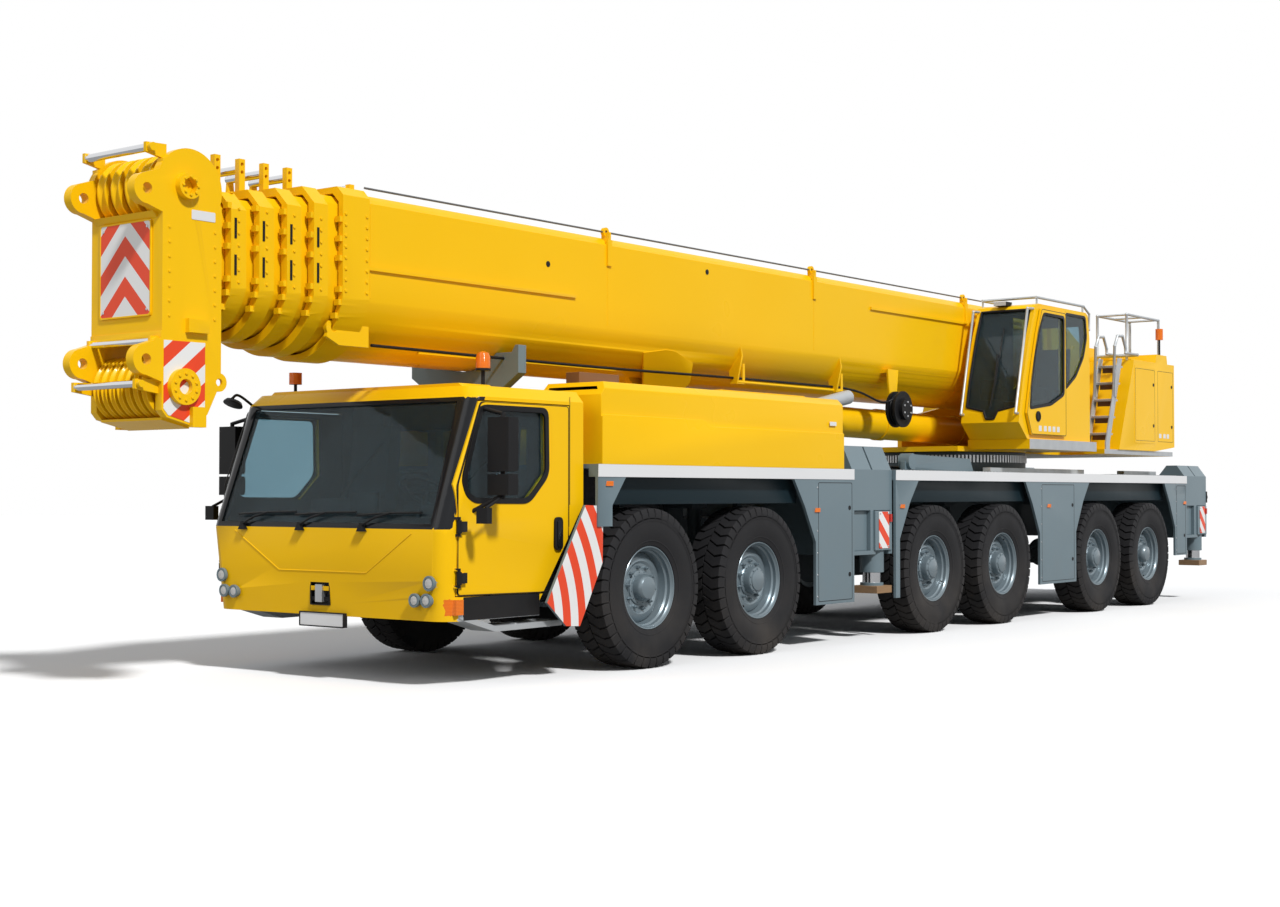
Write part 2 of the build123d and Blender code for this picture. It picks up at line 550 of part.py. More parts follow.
def cab_door(walls):
    """Left door of the cab with its window cut, and its mirrors on their arms."""
    sides = window_cutters()[1]
    door = walls & side_prism(DOOR_OUTLINE, (CAB_HALF - CAB_WALL - 50, CAB_HALF + 50))
    pieces = [door - sides]
    middle = (MIRROR_X[0] + MIRROR_X[1]) / 2
    pieces.append(bar((CAB_HALF - 20, -1975, 2150), (middle, -2000, 2100), 16))
    pieces.append(rod_z(middle, -2000, 18, (MIRROR_CASES[0][0] - 30, 2110)))
    for zs in MIRROR_CASES:
        pieces.append(block(MIRROR_X, (-2055, -1950), zs))
    pieces.append(bar((CAB_HALF - 20, -2100, 1350), (middle, -2000, 1480), 16))
    pieces.append(bar((middle, -2000, 1470), (middle + 10, -2200, 1380), 12))
    pieces.append(block((middle - 50, middle + 60), (-2240, -2185), (1265, 1385)))
    pieces.append(block((CAB_HALF - 10, CAB_HALF + 14), (-1135, -1070), (1050, 1285)))
    door = fused(pieces)
    x, y = CAB_DOOR_HINGE
    for z in DOOR_HINGE_Z:
        strap = block((x - 50, x), (y + 10, y + 90), (z - 40, z + 40))
        strap = strap + block((x - 10, x + HINGE_PIN_R + 8), (y, y + 40), (z - 40, z + 40))
        barrel = rod_z(x, y, HINGE_PIN_R + 8, (z - 50, z + 50))
        door = door + strap + barrel - rod_z(x, y, HINGE_PIN_R + RUNNING_FIT, (z - 60, z + 60))
    return door


def cab_glass():
    """Windscreen and rear window, set back in their openings."""
    screen, _, rear = window_cutters()
    layer = cab_form(12, CAB_FOOT + 80, CAB_ROOF - 20) - cab_form(22, CAB_FOOT + 80, CAB_ROOF - 30)
    return Compound((layer & screen).solids() + (layer & rear).solids())


def cab_interior():
    """Dashboard, steering wheel and two seats on the cab's floor."""
    floor = CAB_FLOOR + SEAT_FIT
    dash = [(-2300, floor), (-2320, 1200), (-2180, 1300), (-1960, 1290), (-1900, 1180), (-2000, floor)]
    pieces = [side_prism(dash, (-1050, 1050))]
    hub = (700, -1890, 1500)
    column = bar((700, -2050, 1240), hub, 25)
    rim = Solid.make_torus(230, 18, Plane(hub, z_dir=(0, 0.55, 0.83)))
    spokes = bar((hub[0] - 225, hub[1], hub[2]), (hub[0] + 225, hub[1], hub[2]), 14)
    pieces.append(column + rim + spokes)
    for x in (-700, 700):
        base = block((x - 240, x + 240), (-1600, -1190), (floor, 1330))
        cushion = block((x - 250, x + 250), (-1660, -1140), (1330, 1450))
        back = side_prism([(-1260, 1440), (-1180, 2080), (-1060, 2080), (-1110, 1380), (-1220, 1380)],
                          (x - 240, x + 240))
        pieces.append(base + cushion + back)
    return fused(pieces)


# ---------------------------------------------------------------- engine
COVER_HALF = HALF_WIDTH - 50
COVER_Y = (-620, 3200)
COVER_TOP = 2430
COVER_WALL = 40
COVER_SKIN = 15                    # how far the lower side panels stand out
CHANNEL_FLOOR = 2040
CHANNEL_HALF = (690, 770)          # half width of the channel at its floor and at its top
EXHAUST_R = 75


def cover_outline(inset, foot):
    """Cross-section of the engine cover drawn in by a distance, with the boom's channel."""
    half, top = COVER_HALF - COVER_SKIN - inset, COVER_TOP - inset
    slope, wall = CHANNEL_HALF[1] + inset, CHANNEL_HALF[0] + inset
    side = [(wall, CHANNEL_FLOOR - inset), (slope, top), (half - 60, top), (half, top - 60), (half, foot)]
    return [(-x, z) for x, z in side[::-1]] + side


def engine_cover():
    """Hollow cover over the engine bay: channel below the boom, stepped sides, box and exhaust."""
    foot = RAIL_TOP + SEAT_FIT
    front, rear = COVER_Y
    inner = (front + COVER_WALL, rear - COVER_WALL)
    body = front_prism(cover_outline(0, foot), COVER_Y) - front_prism(cover_outline(COVER_WALL, foot - 200), inner)
    slope = [(front - 10, COVER_TOP - 125), (front - 10, COVER_TOP + 20), (front + 110, COVER_TOP + 20),
             (front + 95, COVER_TOP)]
    body = body - side_prism(slope, (-COVER_HALF - 100, COVER_HALF + 100))
    apron = [(front, foot), (front, 2135), (front + 20, 2150), (820, 2148), (925, 2092), (rear, 2090), (rear, foot)]
    body = body + twin(side_prism(apron, (COVER_HALF - COVER_SKIN - 5, COVER_HALF)))
    box = block((CHANNEL_HALF[1] + 10, CHANNEL_HALF[1] + 160), (front + 320, front + 870), (COVER_TOP - 10, 2540))
    pipe_end = (900, 4180, 2515)
    pipe = bar((900, rear - 20, 2330), pipe_end, EXHAUST_R)
    bore = bar((900, 3700, 2425), (900, 4280, 2534), EXHAUST_R - 8)
    return body + box + (pipe - bore)


def engine_block():
    """Plain block for the engine on the frame behind the cab."""
    return block((-430, 430), (-420, 1500), (ENGINE_BAY_FLOOR + SEAT_FIT, 1950))


def boom_rest():
    """Saddle behind the cab that the boom lies in."""
    foot = NOSE_TOP + SEAT_FIT
    outline = [(-430, foot), (-430, 2380), (-640, 2520), (-640, 2760), (-600, 2760), (-560, 2700),
               (560, 2700), (600, 2760), (640, 2760), (640, 2520), (430, 2380), (430, foot)]
    post = front_prism(outline, (-760, -660)) - boom_length(-MOVING_GAP, (-800, -600))
    return post - block((-330, 330), (-900, -600), (1300, 2100))


# ---------------------------------------------------------------- slewing table
def slew_ring():
    """Bearing ring on top of the frame."""
    ring = rod_z(0, SLEW_Y, SLEW_R, (RAIL_TOP + SEAT_FIT, RING_TOP))
    seat = rod_z(0, SLEW_Y, FRAME_HALF - 10, (FRAME_TOP + SEAT_FIT, RAIL_TOP + 20))
    bore = rod_z(0, SLEW_Y, SPIGOT_R + RUNNING_FIT, (RAIL_TOP + 30, RING_TOP + 100))
    return (ring + seat) - bore


def turntable_frame():
    """Slewing table with its spigot, cheeks, pins and the platform under the crane cab."""
    spigot = rod_z(0, SLEW_Y, SPIGOT_R, (RAIL_TOP + 60, TABLE_Z[0] + 10))
    base = block((-CHEEK_X[1], CHEEK_X[1]), (7050, 11750), TABLE_Z)
    base = base + rod_z(0, SLEW_Y, SLEW_R, TABLE_Z)
    base = base + block((-HALF_WIDTH + 20, HALF_WIDTH - 20), (9920, 11780), TABLE_Z)
    base = base + block((HALF_WIDTH - 300, HALF_WIDTH - 20), (9490, 9930), TABLE_Z)
    cheek = [(8000, TABLE_Z[0]), (8000, 2450), (9500, 2700), (10380, 3480), (11050, 3480),
             (11350, 2900), (11750, 2700), (11750, TABLE_Z[0])]
    cheeks = twin(side_prism(cheek, CHEEK_X))
    pivot = rod_x(PIVOT_Y, PIVOT_Z, PIVOT_R, (-CHEEK_X[1] - 20, CHEEK_X[1] + 20 - SEAT_FIT * 10))
    barrel_pin = rod_x(BARREL_Y, BARREL_Z, BARREL_PIN_R, (-CHEEK_X[1], CHEEK_X[1]))
    platform_top = CRANE_CAB_FLOOR_Z - SEAT_FIT
    platform = block((CHEEK_X[1] - 10, CRANE_CAB_X[1] + 30), (7330, 9240), (TABLE_Z[0] + 20, platform_top))
    return fused([spigot, base, cheeks, pivot, barrel_pin, platform] + tilt_brackets(platform_top))


def tilt_brackets(floor):
    """A pin between two plates for each of the crane cab's eyes."""
    y, z = TILT_PIN
    pieces = []
    for xs in TILT_EYE_X:
        ends = (xs[0] - MOVING_GAP, xs[1] + MOVING_GAP)
        pieces.append(rod_x(y, z, TILT_PIN_R, (ends[0] - 15, ends[1] + 15)))
        for low in (ends[0] - 15, ends[1]):
            pieces.append(block((low, low + 15), (y - 30, y + 50), (floor - 5, z + 35)))
    return pieces


def engine_housing():
    """Upper engine housing: a box each side of the boom's foot, joined across the rear."""
    floor = TABLE_Z[1] + SEAT_FIT
    outline = [(9900, floor), (10380, 3180), (10410, 3255), (11140, 3255), (11170, 3370), (11530, 3370),
               (11560, 3255), (11800, 3255), (11800, 2125), (11120, floor)]
    box = twin(side_prism(outline, (CHEEK_X[1] + 30, HALF_WIDTH)))
    box = box + twin(block((HALF_WIDTH - 40, HALF_WIDTH + 4), (10420, 11120), (2160, 3180)))
    rear = block((-CHEEK_X[1] - 40, CHEEK_X[1] + 40), (11760, 11800), (2130, 3000))
    beacon = rod_z(HALF_WIDTH - 80, 11480, 14, (3360, 3600)) + rod_z(HALF_WIDTH - 80, 11480, 50, (3590, 3740))
    hatch = block((CHEEK_X[1] + 120, HALF_WIDTH - 150), (10680, 11060), (3250, 3290))
    return fused([box, rear, beacon, twin(hatch)])


def winch():
    """Hoist drum with its flanges and two feet on the slewing table."""
    y, z = 11350, 2480
    drum = rod_x(y, z, 200, (-420, 420))
    for x in (-440, 400):
        drum = drum + rod_x(y, z, 270, (x, x + 40))
    feet = []
    for x in (-520, 460):
        feet.append(side_prism([(y - 240, TABLE_Z[1] + SEAT_FIT), (y - 90, z + 120), (y + 90, z + 120),
                                (y + 240, TABLE_Z[1] + SEAT_FIT)], (x, x + 60)))
    shaft = rod_x(y, z, 70, (-500, 500))
    return fused([drum, shaft] + feet)


def ladder_rails():
    """Steps between two stringers, their handrails and the rail and rack on the housing."""
    low, high = (9600, 2145), (10010, 3250)
    inner_x, outer_x = HALF_WIDTH - 290, HALF_WIDTH - 30
    floor = TABLE_Z[1] + SEAT_FIT
    pieces = []
    for x in (inner_x, outer_x):
        stringer = [(low[0] - 60, floor), (low[0] - 60, low[1]), (high[0] - 60, high[1]), (high[0] + 60, high[1]),
                    (low[0] + 60, low[1]), (low[0] + 60, floor)]
        pieces.append(side_prism(stringer, (x - 8, x + 8)))
        path = [(9800, 2750), (9850, 3400), (9944, 3535), (10100, 3545), (10200, 3400), (10205, 3330), (10600, 3330)]
        pieces.append(rail([(x, *point) for point in path], HANDRAIL_R))
        pieces.append(bar((x, 9800, 2750), (x, high[0] - 150, 2740), HANDRAIL_R))
    for step in range(LADDER_STEPS):
        share = (step + 0.5) / LADDER_STEPS
        y = low[0] + share * (high[0] - low[0])
        z = low[1] + share * (high[1] - low[1])
        pieces.append(block((inner_x - 8, outer_x + 8), (y - 50, y + 110), (z - 12, z + 12)))
    top = 3255 + SEAT_FIT
    frame = [(10600, top), (10600, RACK_Z), (11700, RACK_Z), (11700, top)]
    for x in (inner_x - 300, outer_x - 150):
        pieces.append(rail([(x, *point) for point in frame], HANDRAIL_R))
    for y in (10650, 11150, 11650):
        pieces.append(rod_x(y, RACK_Z, HANDRAIL_R - 4, (inner_x - 306, outer_x - 144)))
    pieces.append(rod_x(10600, 3330, HANDRAIL_R + 4, (inner_x - 330, outer_x + 7)))
    return fused(pieces)


# ---------------------------------------------------------------- crane cab, its outlines as (y, z) points
CRANE_CAB_OUTLINE = [(7320, CRANE_CAB_FLOOR_Z), (7100, 2330), (7120, 2450), (7230, 2880), (7400, 3380), (7560, 3740),
                     (7640, 3765), (9000, 3762), (9060, 3730), (CRANE_CAB_REAR_Y, 3450),
                     (CRANE_CAB_REAR_Y, CRANE_CAB_FLOOR_Z)]
CRANE_DOOR_OUTLINE = [(7370, 2190), (7250, 2440), (7370, 2900), (7520, 3370), (7660, 3705), (8330, 3700), (8330, 2190)]
CRANE_DOOR_WINDOW = [(7334, 2505), (7373, 2767), (7469, 3113), (7590, 3440), (7710, 3644), (8274, 3642), (8262, 2704),
                     (7900, 2570)]
CRANE_REAR_WINDOW = [(8411, 2790), (8411, 3700), (8985, 3700), (9020, 3451), (8924, 3202), (8693, 2950)]


def crane_cab_form(inset):
    """Body of the crane cab drawn in by a distance."""
    xs = (CRANE_CAB_X[0] + inset, CRANE_CAB_X[1] - inset)
    if inset == 0:
        return side_prism(CRANE_CAB_OUTLINE, xs)
    return side_prism(grown(CRANE_CAB_OUTLINE, -inset), xs)


def crane_cab_cutters():
    """Openings of the windscreen with its notch, the doorway and the side and rear windows."""
    left, right = CRANE_CAB_X[1] - 60, CRANE_CAB_X[0] + 60
    middle = (left + right) / 2
    outline = [(right, 2520), (middle - 90, 2470), (middle - 50, 2375), (middle + 50, 2375), (middle + 90, 2470),
               (left, 2520), (left, 3690), (right, 3690)]
    screen = front_prism(outline, (7000, 7620))
    skin = (CRANE_CAB_X[1] - 100, CRANE_CAB_X[1] + 10)
    doorway = side_prism(grown(CRANE_DOOR_OUTLINE, -40), skin)
    rear_side = side_prism(CRANE_REAR_WINDOW, skin)
    inner_side = side_prism(CRANE_REAR_WINDOW, (CRANE_CAB_X[0] - 10, CRANE_CAB_X[0] + 100))
    back = block((CRANE_CAB_X[0] + 120, CRANE_CAB_X[1] - 120), (CRANE_CAB_REAR_Y - 200, CRANE_CAB_REAR_Y + 90),
                 (2900, 3600))
    return screen, doorway, rear_side, inner_side, back


def crane_cab_shell():
    """Hollow crane cab with its windows and doorway cut, its rails and two eyes for its tilting pins."""
    shell = crane_cab_form(0) - crane_cab_form(CRANE_CAB_WALL)
    for cutter in crane_cab_cutters():
        shell = shell - cutter
    y, z = TILT_PIN
    for xs in TILT_EYE_X:
        strap = block(xs, (CRANE_CAB_REAR_Y - 10, y), (z - 30, z + TILT_EYE_R))
        shell = shell + strap + rod_x(y, z, TILT_EYE_R, xs)
    shell = shell + crane_cab_rails()
    return shell - rod_x(y, z, TILT_PIN_R + RUNNING_FIT, CRANE_CAB_X)


def crane_cab_rails():
    """Handrails up both front edges and round the roof, and the work lamp."""
    left, right = CRANE_CAB_X[1] - 20, CRANE_CAB_X[0] + 20
    pieces = []
    for x in (left, right):
        path = [(7230, 2420), (7060, 2440), (7390, 3690), (7560, 3700)]
        pieces.append(rail([(x, *point) for point in path], 16))
        for y in (7640, 8950):
            pieces.append(rod_z(x, y, 12, (3730, 3842)))
        pieces.append(rod_y(x, 3842, 16, (7620, 8990)))
    pieces.append(rod_x(7640, 3842, 16, (right, left)))
    end = [(8980, 3842), (9150, 3760), (9140, 3560), (CRANE_CAB_REAR_Y - 60, 3560)]
    pieces.append(rail([(left, *point) for point in end], 14))
    pieces.append(block((950, 1110), (7470, 7640), (3752, 3800)))
    return fused(pieces)


def crane_cab_glass():
    """Windscreen, side and rear windows of the crane cab."""
    screen, _, rear_side, inner_side, back = crane_cab_cutters()
    layer = crane_cab_form(12) - crane_cab_form(22)
    panes = []
    for cutter in (screen, rear_side, inner_side, back):
        panes.extend((layer & cutter).solids())
    return Compound(panes)


def crane_cab_seat():
    """Operator's seat with its base and armrest consoles."""
    x = (CRANE_CAB_X[0] + CRANE_CAB_X[1]) / 2
    floor = CRANE_CAB_FLOOR_Z + CRANE_CAB_WALL + SEAT_FIT
    base = block((x - 180, x + 180), (8250, 8700), (floor, 2480))
    cushion = block((x - 230, x + 230), (8180, 8720), (2480, 2600))
    back = side_prism([(8640, 2590), (8760, 3300), (8880, 3300), (8800, 2520)], (x - 220, x + 220))
    consoles = [block((x + s * 270 - 45, x + s * 270 + 45), (8100, 8650), (2560, 2760)) for s in (-1, 1)]
    arms = [block((x + s * 220 - 60, x + s * 220 + 60), (8450, 8600), (2500, 2570)) for s in (-1, 1)]
    return fused([base, cushion, back] + consoles + arms)


def crane_cab_door():
    """Sliding door skin outside the crane cab's left side, with its window cut."""
    pane = side_prism(CRANE_DOOR_WINDOW, (SLIDING_SKIN[0] - 20, SLIDING_SKIN[1] + 20))
    skin = side_prism(CRANE_DOOR_OUTLINE, SLIDING_SKIN) - pane
    shoe_x = (CRANE_CAB_X[1] + SEAT_FIT, SLIDING_SKIN[0] + 5)
    shoes = [block(shoe_x, (8300, 8328), (z, z + 60)) for z in (2250, 3600)]
    return fused([skin] + shoes)


# ---------------------------------------------------------------- luffing cylinder
def along_luff(distance):
    """Point on the luffing cylinder's centre line, from the barrel's pin towards the eye."""
    start = Vector(0, BARREL_Y, BARREL_Z)
    run = Vector(0, EYE_Y, EYE_Z) - start
    point = start + run.normalized() * distance
    return (point.X, point.Y, point.Z)


LUFF_LENGTH = (Vector(0, EYE_Y, EYE_Z) - Vector(0, BARREL_Y, BARREL_Z)).length
BARREL_LENGTH = LUFF_LENGTH - 720


def luff_barrel():
    """Barrel of the luffing cylinder with its bands and the eye at its foot."""
    outer = bar(along_luff(0), along_luff(BARREL_LENGTH), BARREL_R)
    for start in (500, 2400, BARREL_LENGTH - 140):
        outer = outer + bar(along_luff(start), along_luff(start + 120), BARREL_R + 12)
    bore = bar(along_luff(BARREL_PIN_R + 120), along_luff(BARREL_LENGTH + 50), ROD_R + RUNNING_FIT)
    foot = rod_x(BARREL_Y, BARREL_Z, BARREL_R, (-BARREL_R, BARREL_R))
    pin_bore = rod_x(BARREL_Y, BARREL_Z, BARREL_PIN_R + RUNNING_FIT, (-400, 400))
    return (outer + foot) - bore - pin_bore


def luff_rod():
    """Piston rod of the luffing cylinder with its eye."""
    rod = bar(along_luff(BARREL_PIN_R + 200), along_luff(LUFF_LENGTH - 60), ROD_R)
    eye = rod_x(EYE_Y, EYE_Z, EYE_R, (-EYE_HALF, EYE_HALF))
    hole = rod_x(EYE_Y, EYE_Z, BARREL_PIN_R, (-EYE_HALF - 10, EYE_HALF + 10))
    return (rod + eye) - hole


# ---------------------------------------------------------------- boom
def belly_x(inset, z):
    """Half width of the boom's round belly at a height."""
    half, rise = BOOM_HALF - inset, BOOM_SPRING - BOOM_BOTTOM - inset
    radius = (half ** 2 + rise ** 2) / (2 * rise)
    level = BOOM_BOTTOM + inset + radius - z
    return half if z > BOOM_SPRING else (radius ** 2 - level ** 2) ** 0.5


def boom_profile(inset, y, corner=BOOM_CORNER):
    """Cross-section of the boom drawn in by a distance: flat top and sides, round belly."""
    half = BOOM_HALF - inset
    top = BOOM_TOP - inset
    bottom = BOOM_BOTTOM + inset
    edges = [
        Edge.make_line((half, y, BOOM_SPRING), (half, y, top - corner)),
        Edge.make_line((half, y, top - corner), (half - corner, y, top)),
        Edge.make_line((half - corner, y, top), (-half + corner, y, top)),
        Edge.make_line((-half + corner, y, top), (-half, y, top - corner)),
        Edge.make_line((-half, y, top - corner), (-half, y, BOOM_SPRING)),
        Edge.make_three_point_arc((-half, y, BOOM_SPRING), (0, y, bottom), (half, y, BOOM_SPRING)),
    ]
    return Face(Wire(edges))


def boom_length(inset, ys, corner=BOOM_CORNER):
    """Solid stretch of the boom's section between two stations."""
    return Solid.extrude(boom_profile(inset, ys[0], corner), Vector(0, ys[1] - ys[0], 0))


def boom_tube(index, ys):
    """Tube of one boom section; index 0 is the base section."""
    inset = index * SECTION_STEP
    return boom_length(inset, ys) - boom_length(inset + BOOM_WALL, (ys[0] - 100, ys[1] + 100))


def slide_pads(index, y):
    """Wear pads inside a section's mouth that guide the next section's flat sides."""
    inner = BOOM_HALF - index * SECTION_STEP - BOOM_WALL
    next_half = BOOM_HALF - (index + 1) * SECTION_STEP
    pad = block((next_half + SEAT_FIT, inner + 5), (y + 10, y + 130), (3200, 3400))
    return twin(pad)


def edge_tabs(inset, y):
    """Small blocks along the front edge of a collar, up both sides."""
    tabs = []
    for z in TAB_Z:
        x = belly_x(inset - COLLAR_OUT, z)
        tabs.append(twin(block((x - 60, x - 5), (y - 28, y + 10), (z - 22, z + 22))))
    return tabs


def collar(index, y):
    """Thick band round a section's front end, with tabs, a fin and a rope roller on top."""
    inset = index * SECTION_STEP
    band = boom_length(inset - COLLAR_OUT, (y, y + COLLAR_LENGTH), COLLAR_CORNER)
    band = band - boom_length(inset + 5, (y - 10, y + 500))
    top = BOOM_TOP - inset
    fin = block(FIN_X, (y + 10, y + 65), (top + 20, FIN_TOP))
    for z in (FIN_TOP - 40, FIN_TOP - 100):
        fin = fin - rod_x(y + 38, z, 14, (0, 500))
    return fused([band, fin, rope_roller(y + 45, top)] + edge_tabs(inset, y))


def rope_roller(y, top):
    """Roller across the boom's top between two brackets."""
    z = FIN_TOP - 75
    bracket = side_prism([(y - 30, top + 10), (y + 50, top + 10), (y + 30, z + 30), (y - 10, z + 30)], (-230, -205))
    return rod_x(y, z, 32, (-230, FIN_X[0] + 10)) + bracket


def boom_base():
    """Base section with its collar, pivot foot, the luffing cylinder's ears and its fittings."""
    tube = boom_tube(0, (BOOM_FRONT_Y, BOOM_REAR_Y))
    front = BOOM_FRONT_Y - BASE_COLLAR
    band = boom_length(-30, (front, BOOM_FRONT_Y)) - boom_length(BOOM_WALL, (front - 10, BOOM_FRONT_Y + 10))
    foot_outline = [(BOOM_REAR_Y - 500, 2750), (BOOM_REAR_Y - 500, 3700), (BOOM_REAR_Y, 3700),
                    (PIVOT_Y + 120, PIVOT_Z + 240), (PIVOT_Y + 240, PIVOT_Z + 100),
                    (PIVOT_Y + 240, PIVOT_Z - 100), (PIVOT_Y + 120, PIVOT_Z - 240), (BOOM_REAR_Y, 2750)]
    foot = twin(side_prism(foot_outline, (BOOM_HALF - 10, CHEEK_X[0] - MOVING_GAP)))
    pivot_hole = rod_x(PIVOT_Y, PIVOT_Z, PIVOT_R + RUNNING_FIT, (-800, 800))
    ear_outline = [(1050, 2800), (EYE_Y - 160, EYE_Z - 60), (EYE_Y - 60, EYE_Z - 140), (EYE_Y + 60, EYE_Z - 140),
                   (EYE_Y + 160, EYE_Z - 20), (2250, 2760)]
    ear = side_prism(ear_outline, EAR_X) - boom_length(BOOM_WALL / 2, (900, 2400))
    ears = twin(ear) - rod_x(EYE_Y, EYE_Z, BARREL_PIN_R, (-400, 400))
    top_roller = rope_roller(BOOM_FRONT_Y + 130, BOOM_TOP)
    post = block(FIN_X, (BOOM_FRONT_Y + 110, BOOM_FRONT_Y + 160), (BOOM_TOP - 5, FIN_TOP - 40))
    whole = fused([tube, band, foot, ears, slide_pads(0, front), top_roller, post, boom_fittings()]
                  + edge_tabs(COLLAR_OUT - 30, front))
    return whole - pivot_hole


def boom_fittings():
    """Ribs, gussets, pipe brackets, rope lugs and the hose drum on the base section."""
    pieces = []
    for ys, zs in SIDE_RIBS:
        pieces.append(twin(block((BOOM_HALF - 5, BOOM_HALF + 22), ys, zs)))
    for ys in ((-1640, -860), (-560, 950)):
        pieces.append(twin(block((290, 330), ys, (2640, 2668))))
    slant = 0.6                    # a gusset leans out by this for each step up
    gusset = [(1180, 2830), (1500, 2875), (1650, 2870), (2010, 2780), (2110, 2600), (1990, 2440), (1480, 2440)]
    plate = prism([(230 + (z - 2440) * slant, y, z) for y, z in gusset], (18, 0, -18 * slant))
    bar_low = block((205, 250), (1480, 1990), (2440, 2470))
    pieces.append(twin(plate + bar_low))
    for y in PIPE_BRACKETS:
        wing = front_prism([(530, 3040), (562, 2880), (500, 2600), (420, 2600), (400, 2740)], (y, y + 25))
        strip = block((445, 470), (y + 20, y + 190), (2605, 2640)) + block((445, 470), (y + 150, y + 190), (2605, 2860))
        pieces.append(twin(wing + strip))
    pieces.append(twin(rod_y(458, 2622, 16, (PIPE_BRACKETS[0], PIPE_BRACKETS[1] + 190))))
    for y in ROPE_LUGS:
        strap = block((BOOM_HALF - 5, BOOM_HALF + 20), (y - 30, y + 30), (BOOM_TOP - 260, BOOM_TOP - 20))
        neck = block((BOOM_HALF - 75, BOOM_HALF + 20), (y - 12, y + 12), (BOOM_TOP - 60, BOOM_TOP + 50))
        pieces.append(twin(strap + neck + eye(y, BOOM_TOP + 55, 42, 18, (BOOM_HALF - 60, BOOM_HALF - 25))))
    lug = side_prism([(-2770, 2700), (-2640, 2640), (-2330, 2640), (-2330, 2900), (-2700, 2900)], (430, 465))
    pieces.append(twin(lug + rod_x(-2690, 2775, 82, (430, 465)) - rod_x(-2690, 2775, 34, (400, 500))))
    y, z = HOSE_DRUM
    drum = rod_x(y, z, 205, (620, 645)) + rod_x(y, z, 205, (715, 740)) + rod_x(y, z, 120, (600, 790))
    arm = side_prism([(y - 60, z), (y - 120, 2900), (y + 120, 2900), (y + 60, z)], (585, 605))
    pieces.append(drum + arm + block((BOOM_HALF - 60, 600), (y - 100, y + 100), (2860, 2900)))
    return fused(pieces) - boom_length(BOOM_WALL / 2, (BOOM_FRONT_Y - BASE_COLLAR - 200, BOOM_REAR_Y))


def boom_tele(index):
    """One telescopic section with its collar; the last one carries the head."""
    y = COLLAR_FRONT_Y - (index - 1) * COLLAR_PITCH
    tube = boom_tube(index, (y, TELE_REAR_Y - index * 60))
    if index == TELE_COUNT:
        return boom_tube(index, (HEAD_REAR_Y - 35, TELE_REAR_Y - index * 60)) + boom_head()
    return tube + collar(index, y) + slide_pads(index, y)


def head_plate():
    """Outline of one head plate: rounded over the upper sheaves, cut back at its foot."""
    y, z = UPPER_AXLE
    plate = side_prism([(HEAD_FRONT_Y, 2080), (-4215, 2030), (-3974, 1970), (-3860, 2060), (HEAD_REAR_Y, 2300),
                        (HEAD_REAR_Y, 3560), (-3800, 3700), (-4150, 3900), (HEAD_FRONT_Y, 3860)], HEAD_X)
    return plate + rod_x(y + 35, z - 10, HEAD_ARCH_R, HEAD_X)


def jib_lug(z):
    """Lug with a round eye on the front edge of one head plate."""
    y = BOOM_TIP_Y + LUG_R
    root = HEAD_FRONT_Y + 60
    outline = [(root, z - 170), (root, z + 180), (y - 20, z + LUG_R * 0.98), (y - 60, z - LUG_R * 0.83)]
    return side_prism(outline, (HEAD_X[0] - 15, HEAD_X[1])) + rod_x(y, z, LUG_R, (HEAD_X[0] - 15, HEAD_X[1]))


def boom_head():
    """Head with its plates, front and lower plates, jib lugs, rope rollers and tail lugs."""
    inner = (-HEAD_X[0] - 10, HEAD_X[0] + 10)
    face = block(inner, (HEAD_FRONT_Y, HEAD_FRONT_Y + 40), (2640, 3470))
    sign = block((-295, 295), (HEAD_FRONT_Y - 12, HEAD_FRONT_Y + 5), (2757, 3435))
    ledge = side_prism([(HEAD_FRONT_Y, 3440), (HEAD_FRONT_Y - 40, 3490), (HEAD_FRONT_Y + 40, 3490)], inner)
    floor = block(inner, (HEAD_FRONT_Y + 20, HEAD_REAR_Y - 20), (2600, 2640))
    apron = side_prism([(-4215, 2012), (-4215, 2030), (-3974, 1975), (-3974, 1957)], inner)
    lower_face = block((-HEAD_X[1], HEAD_X[1]), (HEAD_FRONT_Y - 8, HEAD_FRONT_Y + 30), (2585, 2640))
    side = head_plate() + jib_lug(UPPER_LUG_Z) + jib_lug(LOWER_LUG_Z)
    side = side + rod_x(*UPPER_AXLE, 95, (HEAD_X[1] - 5, HEAD_X[1] + 55))
    side = side + rod_x(*LOWER_AXLE, 130, (HEAD_X[1] - 5, HEAD_X[1] + 45))
    tail = side_prism([(-3900, 2200), (-3760, 2235), (-3760, 2360), (-3860, 2400)], (HEAD_X[1] - 25, HEAD_X[1]))
    side = side + tail + rod_x(-3755, 2298, 68, (HEAD_X[1] - 25, HEAD_X[1])) - rod_x(-3755, 2298, 28, (0, 600))
    side = side + block((HEAD_X[1] - 20, HEAD_X[1] + 40), (-4020, -3900), (1965, 2110))
    side = side + block((HEAD_X[1] - 5, HEAD_X[1] + 45), (-4060, -3880), (2640, 2740))
    whole = fused([twin(side), face, sign, ledge, floor, apron, lower_face] + head_rollers())
    for y, z, r in ((BOOM_TIP_Y + LUG_R, UPPER_LUG_Z, 40), (BOOM_TIP_Y + LUG_R, LOWER_LUG_Z, 40),
                    (*UPPER_AXLE, SHEAVE_SHAFT_R + SEAT_FIT), (*LOWER_AXLE, SHEAVE_SHAFT_R + SEAT_FIT)):
        whole = whole - rod_x(y, z, r, (-600, 600))
    return whole


